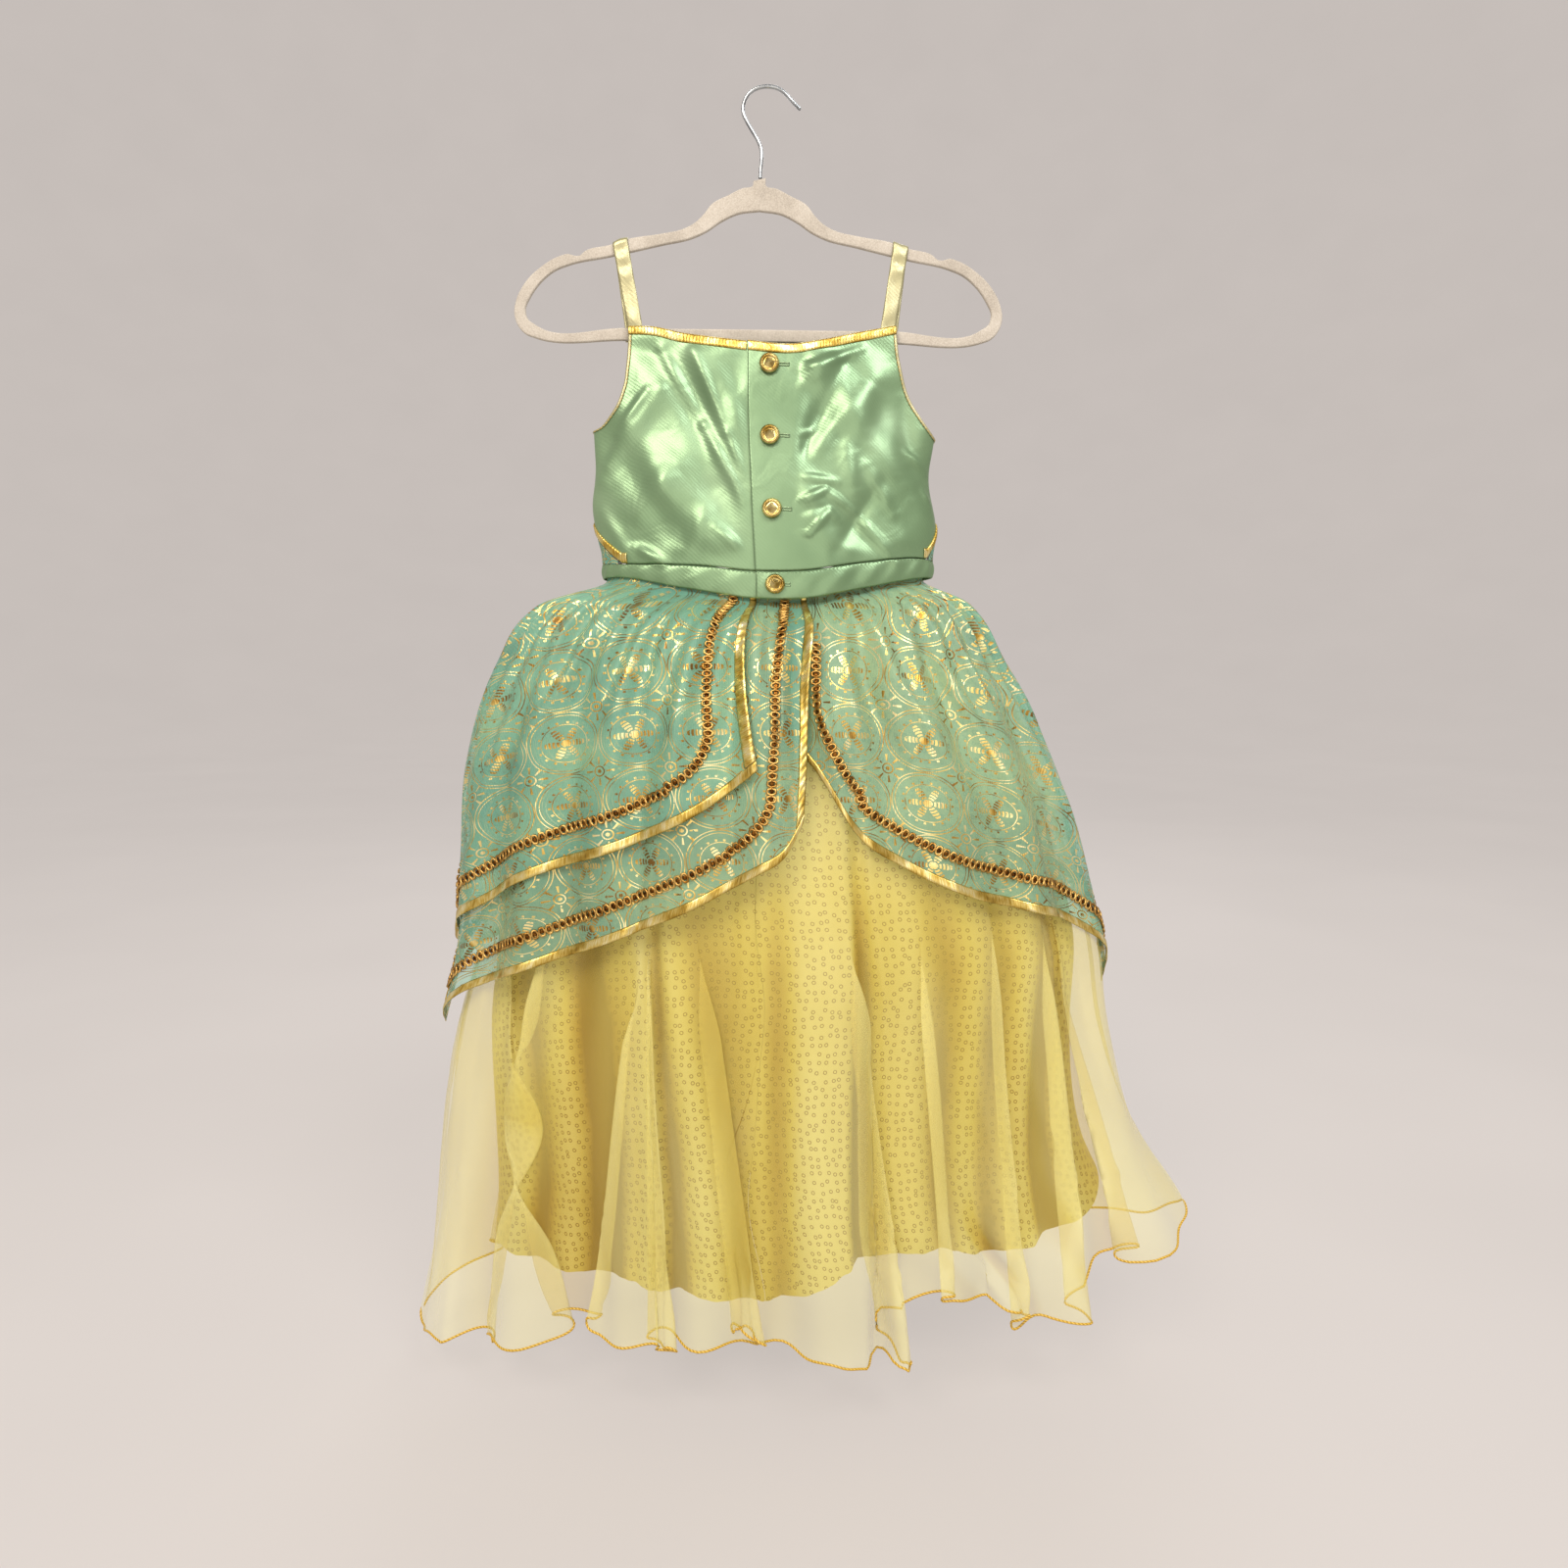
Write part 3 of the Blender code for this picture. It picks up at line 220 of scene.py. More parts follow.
# Creases in the satin: a straight line from (x, level) to (x, level), its half width and height.
satinCreases = (
    (0.029, -0.246, 0.082, -0.225, 0.0045, 0.0020), (0.009, -0.239, 0.042, -0.241, 0.0022, 0.0010),
    (0.011, -0.246, 0.037, -0.243, 0.0022, 0.0009), (0.094, -0.253, 0.069, -0.314, 0.0120, 0.0036),
    (0.069, -0.314, 0.075, -0.352, 0.0090, 0.0026), (0.065, -0.241, 0.045, -0.284, 0.0110, -0.0030),
    (0.045, -0.284, 0.004, -0.352, 0.0120, -0.0026), (-0.017, -0.264, 0.018, -0.261, 0.0080, 0.0018),
    (0.018, -0.261, 0.055, -0.239, 0.0070, 0.0020), (-0.017, -0.332, 0.011, -0.323, 0.0080, 0.0016),
    (0.011, -0.306, 0.039, -0.299, 0.0028, 0.0012), (0.018, -0.364, 0.034, -0.359, 0.0030, 0.0018),
    (0.034, -0.359, 0.048, -0.352, 0.0032, 0.0020), (0.048, -0.352, 0.075, -0.371, 0.0034, 0.0021),
    (0.020, -0.372, 0.046, -0.368, 0.0040, -0.0014), (0.018, -0.389, 0.034, -0.391, 0.0028, 0.0014),
    (0.034, -0.391, 0.052, -0.371, 0.0030, 0.0017), (0.052, -0.371, 0.061, -0.380, 0.0028, 0.0014),
    (0.075, -0.371, 0.114, -0.415, 0.0050, 0.0020), (0.123, -0.316, 0.143, -0.333, 0.0036, 0.0018),
    (0.140, -0.351, 0.147, -0.363, 0.0030, 0.0014), (-0.100, -0.225, -0.062, -0.293, 0.0060, 0.0028),
    (-0.062, -0.293, -0.024, -0.363, 0.0050, 0.0026), (-0.071, -0.227, -0.041, -0.301, 0.0050, 0.0022),
    (-0.041, -0.301, -0.021, -0.346, 0.0045, 0.0022), (-0.100, -0.261, -0.156, -0.340, 0.0080, 0.0026),
    (-0.129, -0.293, -0.151, -0.327, 0.0050, 0.0014), (-0.125, -0.402, -0.099, -0.416, 0.0045, 0.0024),
    (-0.085, -0.327, -0.131, -0.387, 0.0100, 0.0022), (-0.059, -0.370, -0.078, -0.404, 0.0080, 0.0014),
    (-0.155, -0.370, -0.131, -0.409, 0.0060, 0.0018), (-0.084, -0.228, -0.052, -0.345, 0.0130, -0.0026),
    (0.084, -0.262, 0.030, -0.330, 0.0085, 0.0022), (-0.110, -0.330, -0.086, -0.372, 0.0110, 0.0026),
    (-0.140, -0.300, -0.112, -0.262, 0.0045, 0.0022), (0.120, -0.262, 0.128, -0.330, 0.0100, -0.0022),
    (0.100, -0.345, 0.060, -0.405, 0.0070, -0.0018), (-0.050, -0.385, -0.024, -0.408, 0.0050, 0.0018),
    (0.024, -0.340, 0.060, -0.345, 0.0034, 0.0018), (0.086, -0.330, 0.112, -0.372, 0.0060, 0.0020),
)
frontCreases = (
    (-0.100, -0.225, -0.040, -0.330, 0.0090, 0.0026), (0.080, -0.230, 0.030, -0.350, 0.0080, 0.0024),
    (-0.120, -0.300, -0.060, -0.390, 0.0070, 0.0018), (0.110, -0.310, 0.050, -0.400, 0.0080, 0.0018),
    (-0.010, -0.250, 0.010, -0.380, 0.0100, -0.0014), (0.120, -0.360, 0.090, -0.410, 0.0050, 0.0014),
)
# The satin lies flat along the button line, and swells softly between its seams.
satinRelief = {"creases": 1.3, "flatMiddle": 0.0005, "flatHalf": 0.0195, "swell": 0.0016,
               "top": -0.212, "bottom": -0.415}


def bodice(turn, level):
    # The oval ring at each level, moved along its outward direction by the creases and three crossed sines.
    x, y, nx, ny = ring(turn, *sizesAt(bodiceShape, level))
    facing = np.cos(math.pi * turn / 2)
    fromMiddle = np.abs(x - satinRelief["flatMiddle"]) - satinRelief["flatHalf"]
    out = satinRelief["creases"] * ridges(satinCreases, x, level) * smooth(fromMiddle / 0.016)
    out = out * smooth(3 * facing)
    out = out + ridges(frontCreases, x, level) * smooth(-3 * facing)
    inside = smooth((satinRelief["top"] - level) / 0.02) * smooth((level - satinRelief["bottom"]) / 0.02)
    swell = (np.sin(64 * x + 38 * level + 1.3) + 0.7 * np.sin(37 * x - 71 * level)
             + 0.5 * np.sin(118 * x + 92 * level))
    out = out + satinRelief["swell"] * swell * inside * smooth((fromMiddle - 0.0005) / 0.02)
    return np.stack([x + out * nx, y + out * ny, level], -1)


def turnOf(x, level):
    # The turn at which the bodice's ring passes x on the back.
    left, right, _, _ = sizesAt(bodiceShape, np.asarray(level, float))
    return np.arcsin(np.clip((x - (left + right) / 2) * 2 / (right - left), -1, 1)) * 2 / math.pi


placket = {"level": [-0.215, -0.304, -0.369, -0.45], "edge": [-0.0213, -0.0205, -0.018, -0.0137],
           "underlap": 0.026, "top": -0.2185}


def lapLift(turn, level):
    # How far the right back panel stands off to clear the left panel's underlap.
    x = bodice(turn, level)[..., 0]
    return (layer["satin"] + 0.0008) * (1 - smooth((x - placket["underlap"] - 0.018) / 0.04))


def placketX(level, over):
    # The open edge of the lapping panel, or of the underlap below it.
    edge = curve(-level, -np.array(placket["level"]), placket["edge"])
    return edge if over else np.full_like(edge, placket["underlap"])


def lapTop():
    # x where the lapping panel's open edge meets the neckline.
    return placketX(np.array([placket["top"]]), True)[0]


skirtShape = {
    "drop": [-0.02, 0.0005, 0.0015, 0.004, 0.014, 0.035, 0.075, 0.12, 0.18, 0.26, 0.34, 0.43, 0.54,
            0.62, 0.75],
    "left": [-0.158, -0.158, -0.158, -0.1588, -0.175, -0.203, -0.228, -0.249, -0.266, -0.274,
            -0.283, -0.308, -0.326, -0.334, -0.358],
    "right": [0.15, 0.15, 0.15, 0.1508, 0.162, 0.183, 0.205, 0.232, 0.26, 0.285, 0.31, 0.324, 0.362,
            0.412, 0.43],
    "back": [0.0378, 0.0378, 0.0378, 0.0384, 0.0475, 0.064, 0.08, 0.093, 0.104, 0.111, 0.117, 0.122,
            0.127, 0.131, 0.136],
    "front": [0.026, 0.026, 0.026, 0.0266, 0.033, 0.038, 0.042, 0.045, 0.047, 0.048, 0.048, 0.048,
            0.049, 0.05, 0.05],
}
# Crests and valleys of the skirt's folds: x under the tiers and at the hem, and how far each stands out.
backFolds = {
    "high": [-0.262, -0.246, -0.215, -0.18, -0.14, -0.124, -0.112, -0.096, -0.066, -0.012, 0.004,
            0.036, 0.074, 0.086, 0.1, 0.132, 0.165, 0.196, 0.222, 0.25, 0.272, 0.292],
    "low": [-0.31, -0.276, -0.237, -0.192, -0.16, -0.134, -0.106, -0.066, -0.03, -0.012, 0.008,
            0.052, 0.087, 0.099, 0.12, 0.172, 0.204, 0.222, 0.252, 0.296, 0.326, 0.376],
    "out": [0.012, -0.006, 0.01, -0.014, 0.003, 0.016, -0.008, 0.014, -0.006, 0.005, -0.003, 0.018,
            0.012, -0.018, 0.006, 0.012, -0.008, 0.008, -0.005, 0.014, -0.012, 0.01],
}
frontFolds = {
    "high": [0.27, 0.225, 0.165, 0.11, 0.05, -0.01, -0.07, -0.13, -0.19, -0.245],
    "low": [0.34, 0.27, 0.2, 0.13, 0.06, -0.01, -0.085, -0.155, -0.22, -0.29],
    "out": [0.009, -0.009, 0.01, -0.01, 0.011, -0.009, 0.012, -0.01, 0.01, -0.008],
}


def foldStations(drop):
    # The turn of each crest and valley at one drop, and how far each one stands out there.
    left, right, _, _ = sizesAt(skirtShape, np.array([drop]))
    middle, half = (left[0] + right[0]) / 2, (right[0] - left[0]) / 2
    share = np.clip((drop - 0.34) / 0.33, -0.3, 1)
    squeeze = min(1.0, half / (0.296 if share < 0 else 0.296 + 0.095 * share))
    reach = float(smooth(drop / 0.75) * 0.5 + 0.5 * min(1, max(0, drop) / 0.7))
    turns, outs = [[-1.0]], [[0.0]]
    for folds, front in ((backFolds, False), (frontFolds, True)):
        high, low = np.array(folds["high"]), np.array(folds["low"])
        x = (high + (low - high) * share) * squeeze
        turn = np.arcsin(np.clip((x - middle) / half, -0.985, 0.985)) * 2 / math.pi
        turns += [2 - turn if front else turn, [3.0 if front else 1.0]]
        outs += [np.array(folds["out"]) * reach, [0.0]]
    return np.concatenate(turns), np.concatenate(outs)


def foldHeight(turn, drop):
    # Soft crests and valleys between the stations, looked up between forty levels of the skirt.
    turn, drop = np.broadcast_arrays(np.asarray(turn, float), np.asarray(drop, float))
    at, levels, heights = (turn.ravel() + 1) % 4 - 1, np.linspace(-0.02, 0.76, 40), []
    for level in levels:
        turns, outs = foldStations(level)
        i = np.clip(np.searchsorted(turns, at, side="right") - 1, 0, len(turns) - 2)
        t = smooth((at - turns[i]) / (turns[i + 1] - turns[i]))
        heights.append(outs[i] * (1 - t) + outs[i + 1] * t)
    heights = np.array(heights)
    place = np.clip((drop.ravel() + 0.02) / 0.78, 0, 1) * (len(levels) - 1)
    low, pick = np.minimum(place.astype(int), len(levels) - 2), np.arange(at.size)
    part = place - low
    return (heights[low, pick] * (1 - part) + heights[low + 1, pick] * part).reshape(turn.shape)


def skirt(turn, drop, rise, share, gathers, extra=None, narrow=0.0):
    # Rings that widen downwards, plus a share of the folds, the gathers under the waist and small creases.
    left, right, back, front = sizesAt(skirtShape, drop)
    grow = rise(drop)
    drawn = narrow * smooth((drop - 0.28) / 0.34)
    left, right = (left - grow) * (1 - drawn), (right + grow) * (1 - drawn)
    x, y, nx, ny = ring(turn, left, right, back + grow, front + grow)
    out = share * foldHeight(turn, drop)
    if gathers:
        wave = np.cos(2 * math.pi * 4.5 * turn + 2.2 * np.sin(3.1 * turn))
        out = out + gathers * wave * smooth((drop - 0.012) / 0.05) * (1 - smooth((drop - 0.05) / 0.15))
        broad = np.cos(2 * math.pi * 1.4 * turn + 1.0 + 1.7 * np.sin(2.3 * turn))
        out = out + 1.3 * gathers * broad * smooth((drop - 0.05) / 0.2)
    if extra is not None:
        out = out + extra(turn, drop)
    return np.stack([x + out * nx, y + out * ny, bandEdge(turn, "bottom") - drop], -1)


def gathered(turn, drop):
    # Puffs packed under the waistband, which open into fewer, uneven soft folds further down.
    near = smooth((drop - 0.003) / 0.02) * (1 - smooth((drop - 0.05) / 0.14))
    fine = np.sin(2 * math.pi * 12.0 * turn + 2.5 * np.sin(5.3 * turn + 1.0) + 12 * drop)
    wide = np.sin(2 * math.pi * 4.9 * turn + 2.1 * np.sin(3.7 * turn + 0.4) + 4 * drop)
    return 0.0038 * near * fine + 0.0048 * wide * smooth((drop - 0.02) / 0.10)


# The length round the plain skirt from its middle back, for 401 turns at each of 27 drops.
lengthTable = {"turns": np.linspace(-2, 2, 401), "drops": np.linspace(-0.02, 0.76, 27)}
sizes = [part[:, None] for part in sizesAt(skirtShape, lengthTable["drops"])]
x, y = ring(lengthTable["turns"][None], *sizes)[:2]
around = np.cumsum(np.hypot(np.diff(x, axis=1), np.diff(y, axis=1)), 1)
lengthTable["around"] = np.concatenate([np.zeros((27, 1)), around], 1) - around[:, 199:200]


def unrolled(turn, drop, start):
    # The skirt laid out flat as a cone's sector: distance from its point, and angle = length / distance.
    i = np.clip((turn + 2) * 100, 0, 399.999)
    j = np.clip((drop + 0.02) / 0.03, 0, 25.999)
    a, b = i.astype(int), j.astype(int)
    table = lengthTable["around"]
    low = table[b, a] * (1 - i + a) + table[b, a + 1] * (i - a)
    high = table[b + 1, a] * (1 - i + a) + table[b + 1, a + 1] * (i - a)
    far = start + 1.05 * drop
    angle = (low * (1 - j + b) + high * (j - b)) / far
    return np.stack([far * np.sin(angle), -far * np.cos(angle)], -1)


def riseFrom(tucked, low):
    # How far a layer stands out: tucked under the waistband, then out to its place within 25 mm.
    return lambda drop: tucked + (low - tucked) * smooth((drop - 0.001) / 0.024)


# Materials

def linear(code):
    # An sRGB hex colour in linear light.
    channels = np.array([int(code[k:k + 2], 16) for k in (1, 3, 5)]) / 255
    return (*np.where(channels <= 0.04045, channels / 12.92, ((channels + 0.055) / 1.055) ** 2.4), 1.0)


def addNode(tree, kind, feeds=(), stops=(), **settings):
    # Adds one shader node with its settings and links. A feed is a node, one of its outputs, a hex colour or
    # a number; the stops of a colour ramp are pairs of a place and a hex colour.
    made = tree.nodes.new("ShaderNode" + kind)
    for key, value in settings.items():
        setattr(made, key, value)
    for number, (place, colour) in enumerate(stops):
        band = made.color_ramp.elements
        element = band[number] if number < len(band) else band.new(place)
        element.position, element.color = place, linear(colour)
    for key, value in (feeds.items() if isinstance(feeds, dict) else enumerate(feeds)):
        if isinstance(value, bpy.types.Node):
            value = value.outputs[0]
        if isinstance(value, bpy.types.NodeSocket):
            tree.links.new(value, made.inputs[key])
        elif value is not None:
            made.inputs[key].default_value = linear(value) if isinstance(value, str) else value
    return made


def startMaterial(name, **constants):
    # A new material, its node tree and its one surface shader, with fixed values on the shader's own sockets.
    made = bpy.data.materials.new(name)
    made.use_nodes = True
    shader = made.node_tree.nodes["Principled BSDF"]
    for key, value in constants.items():
        socket = shader.inputs[key.replace("_", " ")]
        socket.default_value = linear(value) if isinstance(value, str) else value
    return made, made.node_tree, shader


def finish(tree, shader, **links):
    for key, value in links.items():
        tree.links.new(value.outputs[0] if isinstance(value, bpy.types.Node) else value,
                       shader.inputs[key.replace("_", " ")])


def satinWoven(name, colours, roughness=0.36):
    # Polyester satin, woven with long floats: a smooth close sheen that breaks along every crease.
    made, tree, shader = startMaterial(name, Metallic=0.55, Specular_IOR_Level=1.0, Sheen_Weight=0.2,
                                       Sheen_Roughness=0.4, Sheen_Tint=colours[2], IOR=1.5)
    place = addNode(tree, "TexCoord")
    cloud = addNode(tree, "TexNoise", {"Vector": place.outputs["Object"], "Scale": 9.0, "Detail": 3.0})
    slub = addNode(tree, "TexNoise", {"Vector": addNode(tree, "Mapping", {
        "Vector": place.outputs["Object"], "Scale": (220.0, 220.0, 60.0)}), "Scale": 1.0, "Detail": 2.0})
    tint = addNode(tree, "ValToRGB", [cloud],
        stops=((0.30, colours[0]), (0.55, colours[1]), (0.75, colours[2])))
    rough = addNode(tree, "MapRange", [cloud, 0.3, 0.7, roughness - 0.05, roughness + 0.06])
    # The floats are 0.25 mm apart, too fine to show, so the weave is drawn 1 mm wide.
    weave = addNode(tree, "TexWave", {"Vector": place.outputs["Object"], "Scale": 160.0, "Distortion": 1.5,
                                      "Detail": 1.0}, bands_direction="DIAGONAL")
    both = addNode(tree, "Math", [weave, slub], operation="ADD")
    fine = addNode(tree, "Bump", {"Strength": 0.12, "Distance": 0.0003, "Height": both})
    # Soft dimples 15 to 30 mm across, where the cloth was folded in its bag.
    dimple = addNode(tree, "TexNoise", {"Vector": place.outputs["Object"], "Scale": 30.0, "Detail": 1.5,
                                        "Distortion": 1.2})
    bump = addNode(tree, "Bump", {"Strength": 0.20, "Distance": 0.0035, "Height": dimple, "Normal": fine})
    finish(tree, shader, Base_Color=tint, Roughness=rough, Normal=bump)
    return made


def lameTape(name):
    # Woven metallic ribbon: flat gold yarns side by side. Its colour is pale in patches, as painted glints,
    # and dark between the yarns where the bump is low, as painted shade.
    made, tree, shader = startMaterial(name, Specular_IOR_Level=0.5)
    place = addNode(tree, "UVMap", uv_map="cloth")
    ribs = addNode(tree, "TexNoise", {"Vector": addNode(tree, "Mapping", {
        "Vector": place, "Scale": (900.0, 120.0, 1.0)}), "Scale": 1.0, "Detail": 2.0})
    patch = addNode(tree, "TexNoise", {"Vector": place, "Scale": 64.0, "Detail": 1.5})
    mix = addNode(tree, "Math", [ribs, 0.45, addNode(tree, "Math", [patch, 0.6], operation="MULTIPLY")],
                  operation="MULTIPLY_ADD")
    tint = addNode(tree, "ValToRGB", [mix],
        stops=((0.36, "#7A5E1C"), (0.46, "#B4943C"), (0.56, "#D4BE70"), (0.70, "#EFE5B6")))
    rough = addNode(tree, "MapRange", [patch, 0.3, 0.7, 0.42, 0.24])
    bump = addNode(tree, "Bump", {"Strength": 0.35, "Distance": 0.0004, "Height": mix})
    metal = addNode(tree, "MapRange", [ribs, 0.3, 0.6, 0.65, 0.9])
    finish(tree, shader, Base_Color=tint, Roughness=rough, Normal=bump, Metallic=metal)
    return made


def foilOrganza(name, pitch=0.058):
    # Sheer polyester organza with a hot-stamped gold foil print: an upright grid of touching double circles,
    # with a six-petal flower in a ring of beads in each and a small rosette between.
    made, tree, shader = startMaterial(name, Specular_IOR_Level=0.6, Sheen_Weight=0.2, Sheen_Roughness=0.35,
                                       Sheen_Tint="#DDEBDD")

    place = addNode(tree, "UVMap", uv_map="cloth")
    parts = addNode(tree, "SeparateXYZ", [addNode(tree, "Mapping", {
        "Vector": place, "Scale": (1 / pitch, 1 / pitch, 1.0), "Location": (0.2, 0.1, 0)})])
    at = {"X": parts.outputs["X"], "Y": parts.outputs["Y"]}
    # One Math node a row: its name, its operation and what feeds it. x and y run from -0.5 to 0.5 in each
    # square of the grid, away is the distance from its middle and far that from its nearest corner.
    rows = (
        ("fractX", "FRACT", "X"), ("x", "SUBTRACT", "fractX", 0.5), ("sizeX", "ABSOLUTE", "x"),
        ("fractY", "FRACT", "Y"), ("y", "SUBTRACT", "fractY", 0.5), ("sizeY", "ABSOLUTE", "y"),
        ("xSquare", "MULTIPLY", "x", "x"), ("square", "MULTIPLY_ADD", "y", "y", "xSquare"),
        ("away", "SQRT", "square"),
        ("cornerX", "SUBTRACT", 0.5, "sizeX"), ("cornerY", "SUBTRACT", 0.5, "sizeY"),
        ("cornerSquare", "MULTIPLY", "cornerX", "cornerX"),
        ("farSquare", "MULTIPLY_ADD", "cornerY", "cornerY", "cornerSquare"), ("far", "SQRT", "farSquare"),
        ("angle", "ARCTAN2", "y", "x"), ("cornerAngle", "ARCTAN2", "cornerY", "cornerX"),
        # Six petals, r < 0.265 |cos 3a|, each crossed by clear veins.
        ("threeTurns", "MULTIPLY", "angle", 3.0), ("wave", "COSINE", "threeTurns"),
        ("lobe", "ABSOLUTE", "wave"), ("reach", "MULTIPLY", "lobe", 0.265),
        ("petal", "LESS_THAN", "away", "reach"), ("steps", "MULTIPLY", "away", 21.0),
        ("step", "FRACT", "steps"), ("vein", "COMPARE", "step", 0.5, 0.2),
        ("clear", "SUBTRACT", 1.0, "vein"), ("mask", "MULTIPLY", "petal", "clear"),
        # A ring of 18 beads, and eight short rays round each corner.
        ("beadTurns", "MULTIPLY", "angle", 18.0), ("beadWave", "COSINE", "beadTurns"),
        ("bead", "COMPARE", "beadWave", 1.0, 0.35), ("beadRing", "COMPARE", "away", 0.335, 0.016),
        ("beads", "MULTIPLY", "bead", "beadRing"),
        ("rayTurns", "MULTIPLY", "cornerAngle", 8.0), ("rayWave", "COSINE", "rayTurns"),
        ("ray", "COMPARE", "rayWave", 1.0, 0.22), ("rayRing", "COMPARE", "far", 0.165, 0.055),
        ("rays", "MULTIPLY", "ray", "rayRing"),
        ("heart", "LESS_THAN", "away", 0.04), ("outerRing", "COMPARE", "away", 0.490, 0.007),
        ("innerRing", "COMPARE", "away", 0.445, 0.005), ("flowerRing", "COMPARE", "away", 0.300, 0.006),
        ("rosette", "COMPARE", "far", 0.075, 0.010), ("rosetteHeart", "LESS_THAN", "far", 0.03),
    )
    for result, operation, *feeds in rows:
        at[result] = addNode(tree, "Math", [at.get(one, one) for one in feeds], operation=operation)
    mask = at["mask"]
    for motif in ("heart", "outerRing", "innerRing", "flowerRing", "beads", "rays", "rosette",
                  "rosetteHeart"):
        mask = addNode(tree, "Math", [mask, at[motif]], operation="MAXIMUM")
    # Foil that has flaked or missed: a few millimetres across.
    flake = addNode(tree, "TexNoise", {"Vector": place, "Scale": 260.0, "Detail": 2.0})
    whole = addNode(tree, "Math", [flake, 0.33], operation="GREATER_THAN")
    mask = addNode(tree, "Math", [mask, whole], operation="MULTIPLY")
    # The foil's colour runs from dark brown to pale gold with a stretched noise: painted reflections and
    # glints.
    glint = addNode(tree, "TexNoise", {"Vector": addNode(tree, "Mapping", {
        "Vector": place, "Scale": (75.0, 30.0, 1.0)}), "Scale": 1.0, "Detail": 1.0, "Distortion": 0.6})
    gold = addNode(tree, "ValToRGB", [glint],
        stops=((0.34, "#80602A"), (0.43, "#B08A38"), (0.53, "#DBC070"), (0.68, "#F4E3A8")))
    cloud = addNode(tree, "TexNoise", {"Vector": place, "Scale": 14.0, "Detail": 2.0})
    cloth = addNode(tree, "ValToRGB", [cloud],
                    stops=((0.30, "#68A490"), (0.60, "#80B79A"), (0.80, "#9AC69C")))
    # Organza threads are 0.3 mm apart; drawn 0.8 mm apart so that they show.
    threads = addNode(tree, "TexWave", {"Vector": place, "Scale": 200.0, "Distortion": 1.0},
                      bands_direction="X")
    tint = addNode(tree, "Mix", {0: mask, 6: cloth, 7: gold}, data_type="RGBA")
    rough = addNode(tree, "MapRange", [mask, 0.0, 1.0, 0.5, 0.28])
    alpha = addNode(tree, "MapRange", [mask, 0.0, 1.0, 0.54, 1.0])
    both = addNode(tree, "Math", [glint, 0.6, threads], operation="MULTIPLY_ADD")
    bump = addNode(tree, "Bump", {"Strength": 0.18, "Distance": 0.0006, "Height": both})
    metal = addNode(tree, "Math", [mask, 0.75], operation="MULTIPLY")
    finish(tree, shader, Base_Color=tint.outputs[2], Roughness=rough, Alpha=alpha, Normal=bump,
           Metallic=metal)
    return made


def sheerOrganza(name):
    # Plain crystal organza: stiff fine filaments, a see-through yellow haze that glints along its folds.
    made, tree, shader = startMaterial(name, Specular_IOR_Level=0.8, Sheen_Weight=0.35, Sheen_Roughness=0.3,
                                       Sheen_Tint="#FFF6C8", Alpha=0.32)
    place = addNode(tree, "UVMap", uv_map="cloth")
    cloud = addNode(tree, "TexNoise", {"Vector": place, "Scale": 7.0, "Detail": 2.0})
    painted_fold_shade = addNode(tree, "Attribute", attribute_name="painted_fold_shade", attribute_type="GEOMETRY")
    shade = addNode(tree, "Math", [painted_fold_shade.outputs["Fac"], 0.75], operation="MULTIPLY")
    deep = addNode(tree, "Math", [cloud, 0.35, shade], operation="MULTIPLY_ADD")
    # Pale on the crests of the folds and deeper in their valleys, where the fold attribute darkens the colour
    # as painted shade.
    tint = addNode(tree, "ValToRGB", [deep], stops=((0.15, "#F1E896"), (0.45, "#E7D86C"), (0.90, "#CDB03E")))
    # Organza threads are 0.3 mm apart; drawn 0.8 mm apart so that they show.
    waves = [addNode(tree, "TexWave", {"Vector": place, "Scale": 200.0, "Distortion": 0.6},
                     bands_direction=way) for way in "XY"]
    grid = addNode(tree, "Math", waves, operation="MULTIPLY")
    bump = addNode(tree, "Bump", {"Strength": 0.06, "Distance": 0.0004, "Height": grid})
    rough = addNode(tree, "MapRange", [cloud, 0.3, 0.7, 0.34, 0.46])
    finish(tree, shader, Base_Color=tint, Roughness=rough, Normal=bump)
    return made


def ringPrintedSatin(name):
    # Dull yellow lining satin printed with small gold rings, 3 to 4 mm across, scattered about 8 mm apart.
    made, tree, shader = startMaterial(name, Specular_IOR_Level=0.5, Sheen_Weight=0.2, Sheen_Tint="#FFF0B0")
    place = addNode(tree, "UVMap", uv_map="cloth")
    cells = addNode(tree, "TexVoronoi", {"Vector": place, "Scale": 120.0, "Randomness": 0.55},
                    voronoi_dimensions="2D", distance="EUCLIDEAN")
    ringMask = addNode(tree, "Math", [cells.outputs["Distance"], 0.185, 0.06], operation="COMPARE")
    cloud = addNode(tree, "TexNoise", {"Vector": place, "Scale": 11.0, "Detail": 3.0})
    # The fold attribute darkens the cloth's colour in the valleys of the folds: painted shade.
    painted_fold_shade = addNode(tree, "Attribute", attribute_name="painted_fold_shade", attribute_type="GEOMETRY")
    deep = addNode(tree, "Math", [cloud, 0.4, painted_fold_shade.outputs["Fac"]], operation="MULTIPLY_ADD")
    cloth = addNode(tree, "ValToRGB", [deep],
        stops=((0.15, "#D0C474"), (0.55, "#BFAA4C"), (0.85, "#9A7A24"), (0.96, "#7C5A12")))
    tint = addNode(tree, "Mix", {0: ringMask, 6: cloth, 7: "#80601C"}, data_type="RGBA")
    rough = addNode(tree, "MapRange", [ringMask, 0.0, 1.0, 0.55, 0.28])
    metal = addNode(tree, "Math", [ringMask, 0.3], operation="MULTIPLY")
    bump = addNode(tree, "Bump", {"Strength": 0.15, "Distance": 0.0005, "Height": cloud})
    finish(tree, shader, Base_Color=tint.outputs[2], Roughness=rough, Metallic=metal, Normal=bump)
    return made


